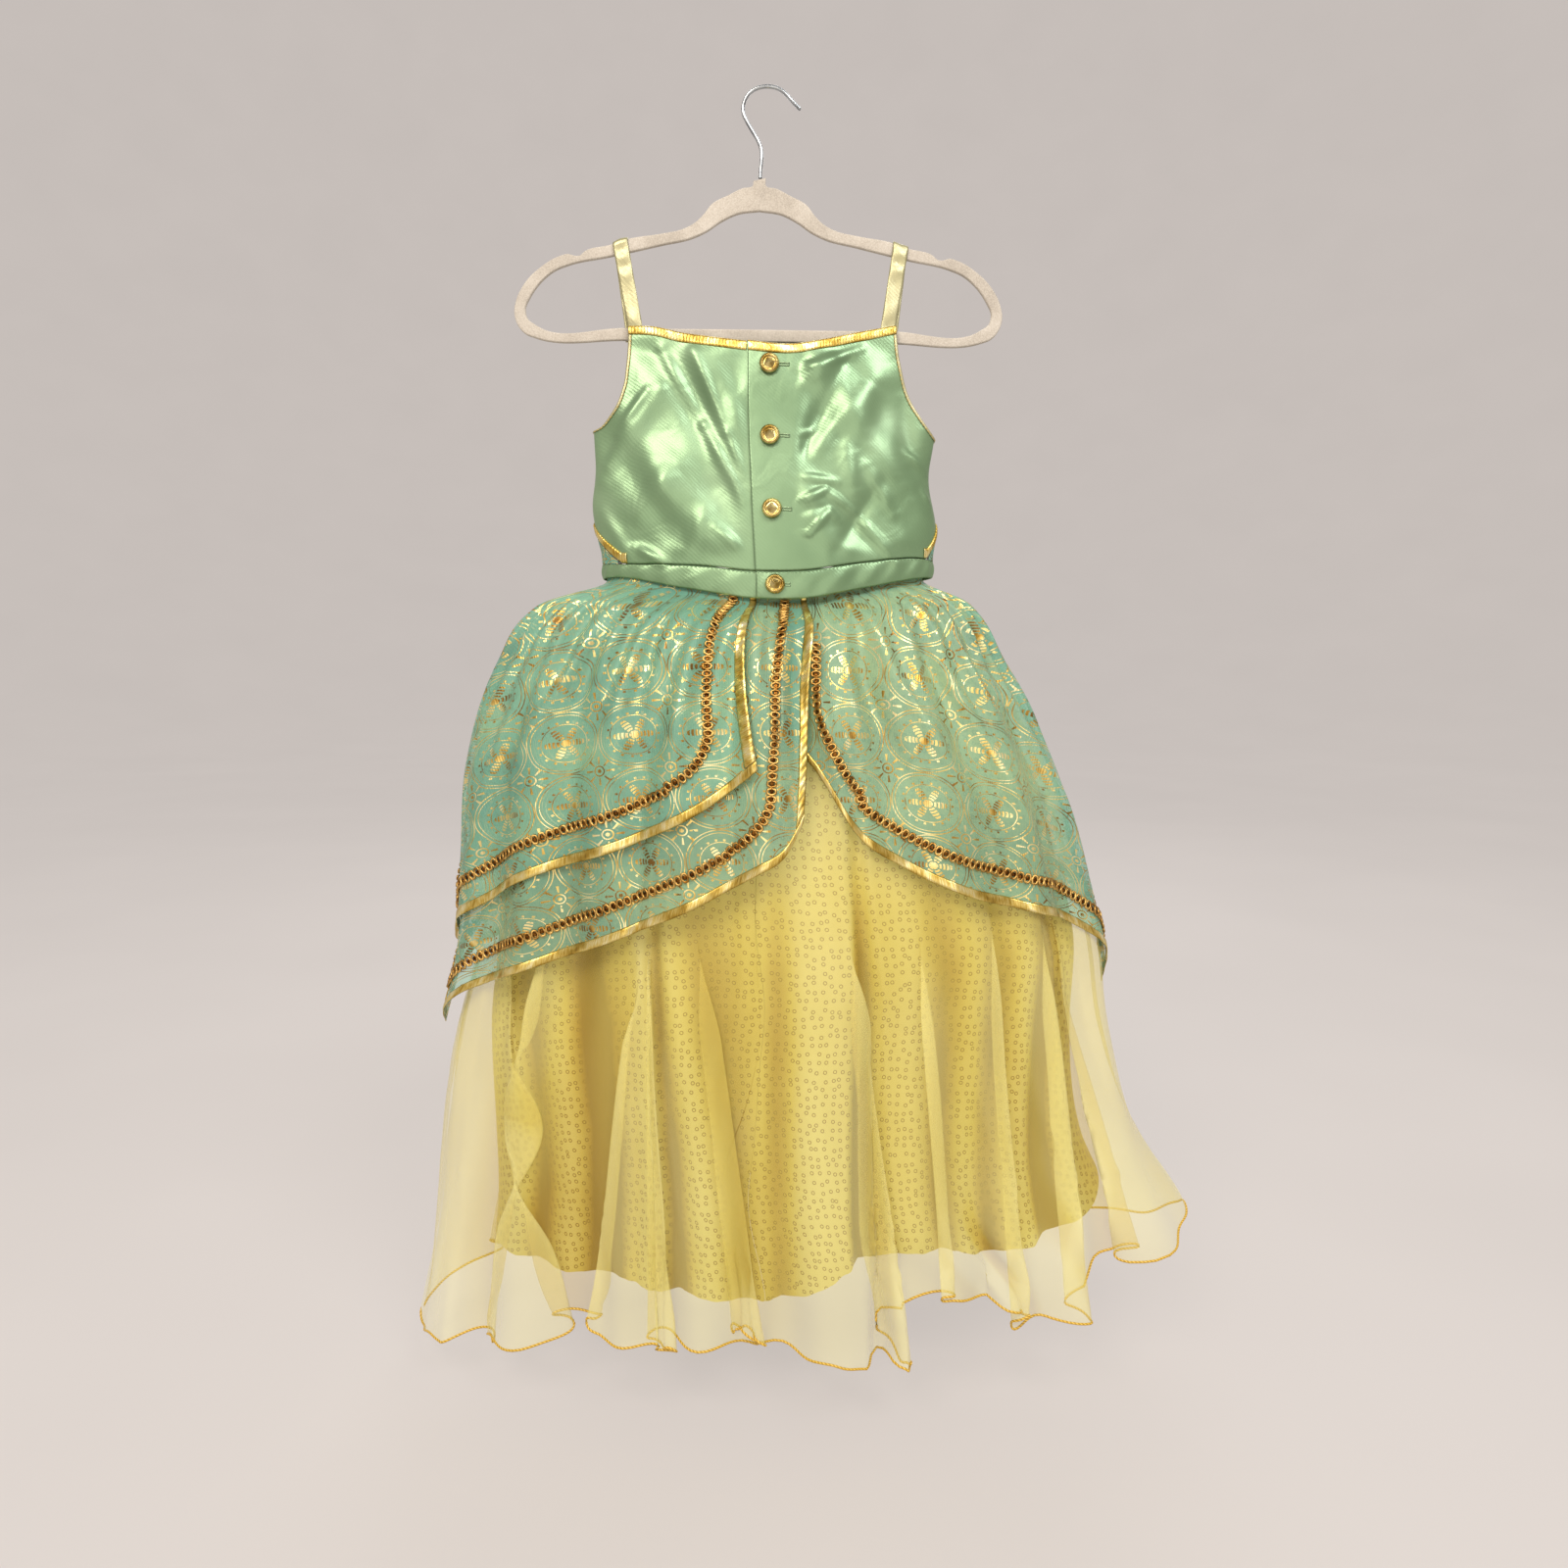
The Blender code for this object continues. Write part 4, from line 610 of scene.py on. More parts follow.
def polishedMetal(name, dark, light, roughness, scale, bumpHeight):
    # Plated or drawn metal: clear reflections, softened by fine rubbing marks in its roughness and bump. The
    # same noise moves its colour between a dark and a light tone, as painted reflections.
    made, tree, shader = startMaterial(name, Metallic=1.0)
    place = addNode(tree, "TexCoord")
    marks = addNode(tree, "TexNoise", {"Vector": place.outputs["Object"], "Scale": scale, "Detail": 3.0})
    tint = addNode(tree, "ValToRGB", [marks], stops=((0.35, dark), (0.65, light)))
    rough = addNode(tree, "MapRange", [marks, 0.3, 0.7, roughness * 0.7, roughness * 1.4])
    bump = addNode(tree, "Bump", {"Strength": 0.2, "Distance": bumpHeight, "Height": marks})
    finish(tree, shader, Base_Color=tint, Roughness=rough, Normal=bump)
    return made


def flockedPlastic(name):
    # Nylon flock on moulded plastic: short fibres, no gloss, with a pale sheen at the edges.
    made, tree, shader = startMaterial(name, Sheen_Weight=0.3, Sheen_Roughness=0.6, Sheen_Tint="#E4DED4",
                                       Specular_IOR_Level=0.2)
    place = addNode(tree, "TexCoord")
    fibre = addNode(tree, "TexNoise", {"Vector": place.outputs["Object"], "Scale": 900.0, "Detail": 2.0})
    brushed = addNode(tree, "TexNoise", {"Vector": place.outputs["Object"], "Scale": 28.0, "Detail": 3.0})
    both = addNode(tree, "Math", [fibre, 0.5, addNode(tree, "Math", [brushed, 0.5], operation="MULTIPLY")],
                   operation="MULTIPLY_ADD")
    tint = addNode(tree, "ValToRGB", [both], stops=((0.35, "#9F968A"), (0.50, "#B3AA9D"), (0.65, "#C2BAAE")))
    bump = addNode(tree, "Bump", {"Strength": 0.4, "Distance": 0.0003, "Height": fibre})
    rough = addNode(tree, "MapRange", [fibre, 0.3, 0.7, 0.88, 1.0])
    finish(tree, shader, Base_Color=tint, Normal=bump, Roughness=rough)
    return made


def hemThread(name):
    # Overlocked yarn rolled tightly round the edge: turns of shiny golden thread, their colour darker in the
    # grooves between turns, where the bump is low, as painted shade.
    made, tree, shader = startMaterial(name, Sheen_Weight=0.3, Sheen_Tint="#FFE08A")
    place = addNode(tree, "UVMap", uv_map="cloth")
    turns = addNode(tree, "TexWave", {"Vector": place, "Scale": 180.0, "Distortion": 1.0},
                    bands_direction="DIAGONAL")
    tint = addNode(tree, "ValToRGB", [turns], stops=((0.2, "#B0851A"), (0.6, "#D6A628"), (0.9, "#E8C456")))
    bump = addNode(tree, "Bump", {"Strength": 0.6, "Distance": 0.0004, "Height": turns})
    rough = addNode(tree, "MapRange", [turns, 0.0, 1.0, 0.55, 0.38])
    finish(tree, shader, Base_Color=tint, Normal=bump, Roughness=rough)
    return made


mintSatin = satinWoven("mint_polyester_satin", ("#6B8861", "#7B9870", "#91AB85"))
strapSatin = satinWoven("pale_gold_satin_ribbon", ("#A39C72", "#B2AC84", "#C1BC98"), 0.42)
goldTape = lameTape("gold_lame_ribbon")
foilPrint = foilOrganza("foil_printed_mint_organza")
yellowOrganza = sheerOrganza("yellow_crystal_organza")
dottedSatin = ringPrintedSatin("ring_printed_yellow_satin")
goldPlate = polishedMetal("gold_plated_button_metal", "#A0843E", "#E6D596", 0.19, 90.0, 0.0002)
braidGold = polishedMetal("gold_braid_wire", "#8A5F26", "#DDB56A", 0.36, 160.0, 0.0003)
sequinBrown = polishedMetal("brown_foil_sequin", "#3A200A", "#7E5220", 0.25, 140.0, 0.0002)
hookSteel = polishedMetal("nickel_plated_steel_wire", "#8E9193", "#C4C8CA", 0.18, 60.0, 0.0001)
ivoryFlock = flockedPlastic("ivory_flocked_plastic")
rolledThread = hemThread("golden_overlock_thread")
goldThread = hemThread("pale_gold_sewing_thread")
mintThread = satinWoven("mint_sewing_thread", ("#8CA57C", "#9AB38A", "#A8C098"))
print("materials made")


# Bodice panels with their neckline tape, armhole bindings and inset tapes

backNeck = {
    "x": [-0.1295, -0.1074, -0.0814, -0.0507, -0.0222, 0.0205, 0.0489, 0.0774, 0.1125],
    "level": [-0.204, -0.2049, -0.2106, -0.215, -0.2185, -0.2219, -0.2173, -0.2106, -0.2038],
}
frontNeck = {
    "x": [-0.1295, -0.1, -0.06, -0.008, 0.044, 0.084, 0.1125],
    "level": [-0.204, -0.209, -0.223, -0.231, -0.223, -0.209, -0.2038],
}
leftArmhole = {
    "share": [0, 0.22, 0.33, 0.42, 0.48, 0.55],
    "x": [-0.1295, -0.132, -0.1347, -0.1423, -0.1545, -0.1655],
    "level": [-0.204, -0.2409, -0.2592, -0.2777, -0.2905, -0.2955],
}
rightArmhole = {
    "share": [0, 0.2, 0.33, 0.44, 0.55],
    "x": [0.1125, 0.1171, 0.1257, 0.138, 0.15],
    "level": [-0.2038, -0.2386, -0.266, -0.2868, -0.303],
}
sideInset = {"level": -0.387, "left": -0.66, "right": 0.80, "tuck": 0.04, "columns": 70, "rows": 24,
             "printWidth": 0.21}
# Shares of a panel, down from its neckline; bindWidth is a share of its width, and seamTurn a turn.
panelRows = {"tape": 0.045, "bindTop": 0.047, "underarm": 0.55, "insetTape": 0.955, "bindWidth": 0.022,
             "seamTurn": 0.005}


def armholeSide(v, rows, side):
    # Down the armhole to the underarm, then down the side seam to the top of the inset.
    x, level = curve(v, rows["share"], rows["x"]), curve(v, rows["share"], rows["level"])
    low, underarm = rows["level"][-1], panelRows["underarm"]
    seam = low + (sideInset["level"] - low) * (v - underarm) / (1 - underarm)
    level = np.where(v > underarm, seam, level)
    return np.where(v >= underarm, side * 1.0, turnOf(x, level)), level


def bodiceBottom(turn):
    # The waist seam, cut away over the side insets.
    waist, own = bandEdge(turn, "top") + layer["gap"], wrapTurn(turn)
    back = np.where(np.abs(own) > 1, np.sign(own) * 2 - own, own)
    reach = np.where(back < 0, -sideInset["left"], sideInset["right"])
    return waist + (sideInset["level"] - waist) * np.clip((np.abs(back) - reach) / (1 - reach), 0, 1)


def panelShape(over, front):
    # A patch filled in from its four edges: returns the function from (u, v) to (turn, level).
    neck = frontNeck if front else backNeck
    sides = ((rightArmhole, 1), (leftArmhole, -1)) if front else ((leftArmhole, -1), (rightArmhole, 1))

    def openEdge(v):
        level = curve(placketX(np.full_like(v, bodiceShape["level"][0]), over), neck["x"], neck["level"])
        level = level + (bandEdge(turnOf(placketX(level, over), level), "top") + layer["gap"] - level) * v
        return turnOf(placketX(level, over), level), level

    def sideEdge(which, v):
        rows, side = sides[which]
        turn, level = armholeSide(v, rows, side)
        turn = turn - side * panelRows["seamTurn"] * smooth((v - 0.5) / 0.05)
        return (2 - turn if front else turn), level

    left = openEdge if over else lambda v: sideEdge(0, v)
    right = lambda v: sideEdge(1, v)
    start, stop = neck["x"][0], neck["x"][-1]
    if front:
        start, stop = stop, start
    elif over:
        start = lapTop()
    else:
        right, stop = openEdge, placket["underlap"]

    def top(u):
        x = start + (stop - start) * u
        level = curve(x, neck["x"], neck["level"])
        turn = turnOf(x, level)
        return (2 - turn if front else turn), level

    def bottom(u):
        low, high = left(np.array([1.0]))[0][0], right(np.array([1.0]))[0][0]
        turn = low + (high - low) * u
        return turn, bodiceBottom(turn)

    def place(u, v):
        # The blend of the top and bottom edges plus that of the two sides, less the blend of the corners.
        edges = [np.array(part) for part in (top(u), bottom(u), left(v), right(v))]
        corners = [np.array(edge(0 * u + end)) for edge in (top, bottom) for end in (0, 1)]
        return ((1 - v) * edges[0] + v * edges[1] + (1 - u) * edges[2] + u * edges[3]
                - (1 - u) * (1 - v) * corners[0] - u * (1 - v) * corners[1]
                - (1 - u) * v * corners[2] - u * v * corners[3])
    return place, start, stop


def patch(place, us, vs, height, over):
    # Points of a patch at a height along the outward direction, and that direction.
    u, v = np.meshgrid(us, vs)
    turn, level = place(u, v)
    outward = normalsOf(bodice, turn, level)
    lift = lapLift(turn, level) if over else 0.0
    high = height(u, v) if callable(height) else height
    return bodice(turn, level) + outward * (lift + high + 0 * u)[..., None], outward


def stripHeight(low, thick, middle, half, pucker=0.0002):
    # A ribbon: flat in the middle, thinner at its two selvedges, slightly puckered by its stitches.
    def height(u, v):
        side = np.clip(np.abs(v - middle) / half, 0, 1)
        return low + thick * (1 - side ** 6) + pucker * np.sin(330 * u) * (1 - side ** 2)
    return height


def bindingHeight(low, thick, middle, width):
    # A folded binding: half an ellipse across its width.
    def height(u, v):
        return low + thick * np.sqrt(np.clip(1 - ((u - middle) / width * 2) ** 2, 0, 1))
    return height


stitch = {"long": 0.0026, "gap": 0.0012, "thread": 0.00022}


def addStitches(name, path, outward, look):
    # Short raised bars of thread in a row along a path: each is a five-point arch with a diamond section.
    length = lengthAlong(path)
    starts = np.arange(0.001, length[-1] - stitch["long"], stitch["long"] + stitch["gap"])
    share = np.linspace(0, 1, 5)
    at = starts[:, None] + stitch["long"] * share
    spots = np.stack([np.interp(at, length, path[:, k]) for k in range(3)], -1)
    out = np.stack([np.interp(at, length, outward[:, k]) for k in range(3)], -1)
    side = unitOf(np.cross(np.gradient(spots, axis=1), out))
    size = stitch["thread"] * np.array([0.3, 0.9, 1.0, 0.9, 0.3])[:, None]
    turn = np.arange(4) * math.pi / 2
    arch = stitch["thread"] * (2.2 * np.sin(math.pi * share) - 0.4)[:, None]
    points = (spots[:, :, None] + side[:, :, None] * (size * np.cos(turn))[..., None]
              + out[:, :, None] * (arch + size * np.sin(turn))[..., None])
    flat, around = points.reshape(-1, 3), (points - points.mean(2, keepdims=True)).reshape(-1, 3)
    faces = lookOut(manyFaces(gridFaces(5, 4, joinCols=True), len(starts), 20), flat, around)
    uv = np.zeros((len(flat), 2))
    uv[:, 0] = np.repeat(at.ravel(), 4)
    return addPiece(name, flat, faces, look, uv)


sewnOn = {}
# "inset" is the share of a panel's width that the tape above the side inset takes.
panels = {
    "bodice_back_left": {"over": False, "front": False, "tape": "neck_tape_back_left", "columns": 104,
                         "inset": 0.333},
    "bodice_back_right": {"over": True, "front": False, "tape": "neck_tape_back_right", "columns": 104,
                          "inset": 0.222},
    "bodice_front": {"over": False, "front": True, "tape": "neck_tape_front", "columns": 130, "inset": 0.25},
}
panelGrid = {"rows": 116, "tape": 260, "trim": 90}
low, thick = layer["gap"], layer["trim"]
tape, width, last = panelRows["tape"], panelRows["bindWidth"], panelRows["insetTape"]
for name, spec in panels.items():
    over, front = spec["over"], spec["front"]
    place, start, stop = panelShape(over, front)
    us, vs = np.linspace(0, 1, spec["columns"]), np.linspace(0, 1, panelGrid["rows"])
    points, outward = patch(place, us, vs, 0.0, over)
    addSheet(name, points, outward, mintSatin, "satin", name, wall=0.0006)
    end = 1.0
    if not front and not over:
        end = (lapTop() - 0.0012 - start) / (stop - start)
    points, outward = patch(place, np.linspace(0, end, panelGrid["tape"]), np.linspace(0, tape, 9),
                            stripHeight(low, thick, tape / 2, tape / 2, 0.0003), over)
    addSheet(spec["tape"], points, outward, goldTape, "tape", spec["tape"], wall=0.0008)
    rows = [addStitches(spec["tape"].replace("tape", "stitches") + edge, points[k], outward[k], goldThread)
            for edge, k in (("_upper", 1), ("_lower", 7))]
    trims = [bpy.data.objects[spec["tape"] + "_cloth"], *rows]
    face = "front" if front else "back"
    for leftSide in [True] * (front or not over) + [False] * (front or over):
        side = ("right" if leftSide else "left") if front else ("left" if leftSide else "right")
        near = np.linspace(0, width, 7) if leftSide else np.linspace(1 - width, 1, 7)
        down = np.linspace(panelRows["bindTop"], panelRows["underarm"], panelGrid["trim"])
        points, outward = patch(place, near, down, bindingHeight(low, thick, near.mean(), width), over)
        binding = "armhole_binding_%s_%s" % (face, side)
        trims.append(addSheet(binding, points, outward, strapSatin, "binding", binding, wall=0.0005))
        inner = 5 if leftSide else 1
        trims.append(addStitches(binding + "_stitches", points[:, inner], outward[:, inner], goldThread))
        span = np.linspace(0, spec["inset"], panelGrid["trim"])
        span = span if leftSide else np.linspace(1 - spec["inset"], 1, panelGrid["trim"])
        points, outward = patch(place, span, np.linspace(last, 1, 7),
                                stripHeight(low, thick, (last + 1) / 2, (1 - last) / 2), over)
        inset = "inset_tape_%s_%s" % (face, side)
        trims.append(addSheet(inset, points, outward, goldTape, "tape", inset, wall=0.0006))
        trims.append(addStitches(inset + "_stitches", points[1], outward[1], goldThread))
    sewnOn[name] = trims

for side, sign, reach in (("left", -1, -sideInset["left"]), ("right", 1, sideInset["right"])):
    start, stop = reach + sideInset["tuck"], 2 - reach - sideInset["tuck"]
    turn, share = np.meshgrid(sign * np.linspace(start, stop, sideInset["columns"]),
                              np.linspace(0, 1, sideInset["rows"]))
    high, low = bodiceBottom(turn) - 4 * layer["gap"], bandEdge(turn, "top") + layer["gap"]
    level = high + (low - high) * share
    name = "side_inset_" + side
    addSheet(name, bodice(turn, level), normalsOf(bodice, turn, level), foilPrint, "print", name, wall=0.0004,
             uv=np.stack([sideInset["printWidth"] * turn, level], -1))
print("bodice made")


# Waistband

bandRows = {"waistband_back_left": (-1.0, None, False), "waistband_back_right": (None, 1.0, True),
            "waistband_front": (1.0, 3.0, False)}
band = {"level": -0.437, "endGap": 0.0012, "columns": 140, "rows": 16, "roll": 0.0012, "ripple": 0.0005,
        "sink": 0.0004}
for name, (start, stop, over) in bandRows.items():
    at = np.array([band["level"]])
    start = float(turnOf(placketX(at, True), at)[0]) if start is None else start
    stop = float(turnOf(np.array([placket["underlap"]]), at)[0]) if stop is None else stop
    turn, share = np.meshgrid(np.linspace(start + band["endGap"], stop - band["endGap"], band["columns"]),
                              np.linspace(0, 1, band["rows"]))
    level = bandEdge(turn, "top") * (1 - share) + bandEdge(turn, "bottom") * share
    outward = normalsOf(bodice, turn, level)
    lift = lapLift(turn, level) if over else 0.0
    # The band rolls slightly over its filling, and pulls in at both seams.
    arch = np.sin(math.pi * share)
    roll = band["roll"] * arch ** 0.6 + band["ripple"] * np.sin(46 * turn + 3 * share) * arch
    points = bodice(turn, level) + outward * (lift + roll - band["sink"])[..., None]
    addSheet(name, points, outward, mintSatin, "satin", name, wall=0.0008)
    sewnOn[name] = [addStitches(name + "_stitches", points[1], outward[1], mintThread)]
print("waistband made")


# Straps, doubled over the hanger's arms

hangerPlace = {"x": -0.0107, "tilt": 0.012, "half": 0.0025}
# The hanger's outer outline, from its neck along the arm to the middle of its bar.
hangerOuter = {
    "across": [0.0058, 0.0058, 0.0154, 0.0275, 0.0428, 0.0505, 0.0597, 0.0689, 0.0888, 0.1195,
            0.1348, 0.1579, 0.1625, 0.1675, 0.172, 0.1809, 0.1966, 0.2123, 0.2204, 0.2225, 0.2196, 0.2121,
            0.2044, 0.1226],
    "level": [-0.075, -0.0815, -0.0839, -0.0897, -0.0976, -0.1069, -0.1148, -0.1192, -0.1235,
            -0.1286, -0.1336, -0.1395, -0.1432, -0.1432, -0.1418, -0.1439, -0.1526, -0.1672, -0.1819,
            -0.1936, -0.204, -0.2121, -0.215, -0.2165],
}
strap = {"width": 0.0135, "thick": 0.0012, "bend": 0.0014, "feet": (-0.2150, -0.2060), "ripple": 0.0008,
         "left": {"top": -0.1364, "base": -0.1236, "front": -0.1275, "phase": 1.5},
         "right": {"top": 0.1166, "base": 0.1056, "front": 0.1090, "phase": 0.2}}


def hangerTop(x):
    # The level of the hanger's upper edge at x.
    across = abs(x - hangerPlace["x"])
    level = np.interp(across, hangerOuter["across"][1:19], hangerOuter["level"][1:19])
    return level - hangerPlace["tilt"] * (x - hangerPlace["x"])


# Nine lines side by side: each runs up from its two feet on the bodice's back, over the arm in a half circle,
# and down to its two feet on the front.
for side in ("left", "right"):
    spec, radius = strap[side], hangerPlace["half"] + strap["bend"]
    stand = layer["satin"] + layer["gap"] + strap["thick"]
    lines = []
    for shift in np.linspace(-0.5, 0.5, 9):
        topX = spec["top"] + shift * strap["width"]
        high = hangerTop(topX) + 0.0010 - radius
        ends = []
        for key, way in (("base", 1), ("front", -1)):
            baseX = spec[key] + shift * strap["width"]
            feet = []
            for level in strap["feet"]:
                spot = np.array([level])
                turn = turnOf(np.array([baseX]), spot)
                y = bodice(turn if way > 0 else 2 - turn, spot)[0][1]
                feet.append((baseX, y + way * stand, level))
            feet.append(tuple((np.array(feet[1]) + np.array((topX, -way * radius, high))) / 2))
            ends.append(feet)
        bend = [(topX, radius * math.cos(angle), high + radius * math.sin(angle))
                for angle in np.linspace(math.pi, 0, 7)]
        lines.append(ends[0] + bend + ends[1][::-1])
    coarse = np.array(lines)
    knots = lengthAlong(coarse[4])
    overArm = np.linspace(knots[3] - 0.004, knots[9] + 0.004, 40)
    fine = np.unique(np.concatenate([np.linspace(0, knots[-1], 170), overArm]))
    points = np.stack([np.stack([np.interp(fine, knots, line[:, k]) for k in range(3)], -1)
                       for line in coarse])
    outward = unitOf(np.cross(np.gradient(points, axis=0), np.gradient(points, axis=1)))
    if outward[4, points.shape[1] // 2, 2] < 0:
        outward = -outward
    across = np.abs(np.linspace(-1, 1, 9))[:, None]
    wave = np.sin(260 * fine + 2 * np.sin(90 * fine) + spec["phase"])
    ripple = strap["ripple"] * wave[None, :] * (1 - across)
    high = strap["thick"] - 0.0004 * across ** 4 + ripple
    name = "strap_" + side
    addSheet(name, points + outward * high[..., None], outward, strapSatin, "strap", name, wall=0.0010)
print("straps made")


# Shank buttons: a milled rim round a sunken ring and a four-sided point

# "reach" is the distance from the middle as a share of the radius, and "height" the height over the satin,
# from the middle of the face round the rim to the middle of the back; "nod" is how far a button leans.
button = {
    "radius": 0.0090, "milling": 44, "turnedEdge": 0.018, "ridge": 0.0004, "point": 0.0025,
    "nod": (-0.06, -0.03, 0.02, 0.05),
    "places": ((-0.0019, -0.2404), (-0.0015, -0.3040), (0.0003, -0.3693), (0.0031, -0.4365)),
    "reach": [0.0, 0.14, 0.30, 0.46, 0.54, 0.58, 0.62, 0.66, 0.74, 0.84, 0.93, 0.98, 1.0, 0.98, 0.90, 0.50,
              0.34, 0.32, 0.0],
    "height": [0.0064, 0.0058, 0.0050, 0.0042, 0.0039, 0.0040, 0.0046, 0.0050, 0.0053, 0.0050, 0.0044, 0.0037,
               0.0030, 0.0024, 0.0019, 0.0014, 0.0012, 0.0004, 0.0002],
}
buttonhole = {"halfLong": 0.0058, "beside": 0.0118, "lowestBack": 0.004, "halfWide": 0.0011,
              "zigzag": 0.00035, "thread": 0.00042}
for number, (x, level) in enumerate(button["places"]):
    reach, height = np.array(button["reach"]) * button["radius"], np.array(button["height"])
    angle = np.linspace(0, 2 * math.pi, 176, endpoint=False)
    r, a = np.meshgrid(reach, angle, indexing="ij")
    z = np.repeat(height[:, None], len(angle), 1)
    row = np.arange(len(reach))[:, None]
    mill = np.where((row >= 8) & (row <= 13), np.cos(button["milling"] * a), 0.0)
    r = r * (1 + button["turnedEdge"] * mill)
    z = z + np.where((row >= 7) & (row <= 10), button["ridge"] * np.cos(button["milling"] * a), 0.0)
    square = np.maximum(np.abs(np.cos(a + 0.4 + number)), np.abs(np.sin(a + 0.4 + number)))
    point = np.clip(1 - r * square / (0.50 * button["radius"]), 0, 1)
    z = np.where(row < 5, button["height"][4] + button["point"] * point, z)
    spot = np.array([level])
    turn = turnOf(np.array([x]), spot)
    out = normalsOf(bodice, turn, spot)[0]
    seat = bodice(turn, spot)[0] + out * (float(lapLift(turn, spot)[0]) + layer["gap"])
    # The sewn shank lets each button nod a few degrees its own way.
    out = unitOf(out + np.array([0.0, 0.0, button["nod"][number]]))
    side = unitOf(np.cross((0.0, 0.0, 1.0), out))
    up = np.cross(out, side)
    points = seat + (r * np.cos(a))[..., None] * side + (r * np.sin(a))[..., None] * up + z[..., None] * out
    around = points - (seat + 0.003 * out)
    name = "button_%d" % (number + 1)
    addSheet(name + "_plated", points, around, goldPlate, "button", name, joinCols=True)
    # Buttonhole: a rounded border of close zigzag stitches, half under the button.
    mid = np.array([x + buttonhole["beside"] - (buttonhole["lowestBack"] if number == 3 else 0.0)])
    angle = np.linspace(0, 2 * math.pi, 241)
    zig = buttonhole["zigzag"] * np.sign(np.sin(60 * angle))
    reachX = np.clip(1.6 * np.cos(angle), -1, 1) * buttonhole["halfLong"]
    reachZ = np.clip(1.9 * np.sin(angle), -1, 1) * (buttonhole["halfWide"] + zig) - 0.0006 * np.cos(angle)
    levels = level + reachZ
    turns = turnOf(mid + reachX, levels)
    holeOut = normalsOf(bodice, turns, levels)
    hole = bodice(turns, levels) + holeOut * (lapLift(turns, levels) + layer["gap"] + 0.0004)[:, None]
    edge = addRoll("buttonhole_%d" % (number + 1), hole, mintThread, buttonhole["thread"])
    sewnOn["waistband_back_right" if number == 3 else "bodice_back_right"].append(edge)
print("buttons made")


# Skirts of organza and ring-printed satin

pitch = layer["sheer"] + 4 * layer["gap"]
firstTuck = -layer["satin"] - 4 * layer["gap"]
hemRoll = {"radius": 0.0011}
# Folds that lie over themselves: x well above the hem and at the hem, half width, lift, and the upper side.
pleats = {
    "high": [-0.245, -0.215, -0.134, -0.104, -0.052, 0.080, 0.140, 0.205, 0.249, 0.282],
    "low": [-0.205, -0.262, -0.160, -0.100, -0.020, 0.108, 0.165, 0.222, 0.279, 0.345],
    "width": [0.016, 0.014, 0.013, 0.018, 0.018, 0.017, 0.012, 0.011, 0.016, 0.020],
    "lift": [0.0045, 0.004, 0.005, 0.0065, 0.004, 0.006, 0.003, 0.004, 0.005, 0.004],
    "side": [1, -1, -1, 1, 1, 1, -1, 1, 1, -1],
}
frontPleats = {
    "high": [-0.235, -0.150, -0.070, 0.020, 0.105, 0.185, 0.255],
    "low": [-0.285, -0.165, -0.095, 0.030, 0.130, 0.205, 0.310],
    "width": [0.017, 0.013, 0.019, 0.015, 0.018, 0.014, 0.018],
    "lift": [0.004, 0.005, 0.004, 0.0045, 0.006, 0.004, 0.004],
    "side": [-1, 1, -1, 1, 1, -1, 1],
}


def pleated(turn, drop):
    # turn is pushed back by A z exp(-z^2) across each pleat, so that the cloth doubles back, and the layer on
    # top stands out by lift tanh(1.7 z) exp(-(z / 1.9)^2).
    left, right, _, _ = sizesAt(skirtShape, drop)
    middle, half = (left + right) / 2, (right - left) / 2
    share = np.clip((drop - 0.40) / 0.26, -0.6, 1.15)
    grown = smooth((drop - 0.24) / 0.16)
    push, out = np.zeros_like(turn), np.zeros_like(turn)
    for way, own, rows in ((1, turn, pleats), (-1, 2 - turn, frontPleats)):
        near = grown * smooth((1 - np.abs(own)) / 0.06)
        for high, low, width, lift, side in zip(*rows.values()):
            spot = (high + (low - high) * share - middle) / half
            spot = np.arcsin(np.clip(spot, -0.97, 0.97)) * 2 / math.pi
            wide = width * (0.75 + 0.45 * np.clip(share, 0, 1)) / half
            z = (own - spot) / wide
            push = push - way * 2.5 * wide * z * np.exp(-z ** 2) * near
            out = out - side * lift * np.tanh(1.7 * z) * np.exp(-(z / 1.9) ** 2) * near
    return turn + push, out


# Creases of the organza: (arc, drop) to (arc, drop), half width and height, with arcs from the middle back.
organzaCreases = (
    (-0.020, 0.200, -0.040, 0.520, 0.0040, 0.0022), (0.022, 0.250, 0.040, 0.640, 0.0050, 0.0024),
    (0.050, 0.300, 0.046, 0.560, 0.0035, 0.0018), (-0.084, 0.250, -0.060, 0.600, 0.0040, 0.0022),
    (0.150, 0.300, 0.185, 0.660, 0.0045, 0.0024), (0.215, 0.260, 0.225, 0.560, 0.0038, 0.0030),
    (0.198, 0.320, 0.190, 0.640, 0.0045, 0.0018), (-0.170, 0.300, -0.190, 0.640, 0.0050, 0.0024),
    (-0.235, 0.320, -0.225, 0.700, 0.0045, 0.0020), (-0.270, 0.360, -0.290, 0.700, 0.0050, 0.0024),
    (0.285, 0.330, 0.320, 0.560, 0.0045, 0.0024), (0.120, 0.420, 0.140, 0.650, 0.0040, 0.0018),
)


def smallFolds(turn, drop):
    # Narrow straight creases that start and stop at different depths.
    under = gathered(turn, drop) * (1 - smooth((drop - 0.42) / 0.15))
    return under + ridges(organzaCreases, turn * 0.33, drop) * smooth((1.15 - np.abs(turn)) / 0.15)


# Drops of the first rows of a skirt panel, then where its even rows begin, and how far they reach.
skirtGrid = {"near": [-layer["tuck"], 0.0, 0.0012, 0.003, 0.005, 0.007, 0.009, 0.011, 0.014, 0.018, 0.022,
                      0.026, 0.030, 0.038, 0.048, 0.058, 0.069], "begin": 0.08, "reach": 0.62, "seam": 0.0003}


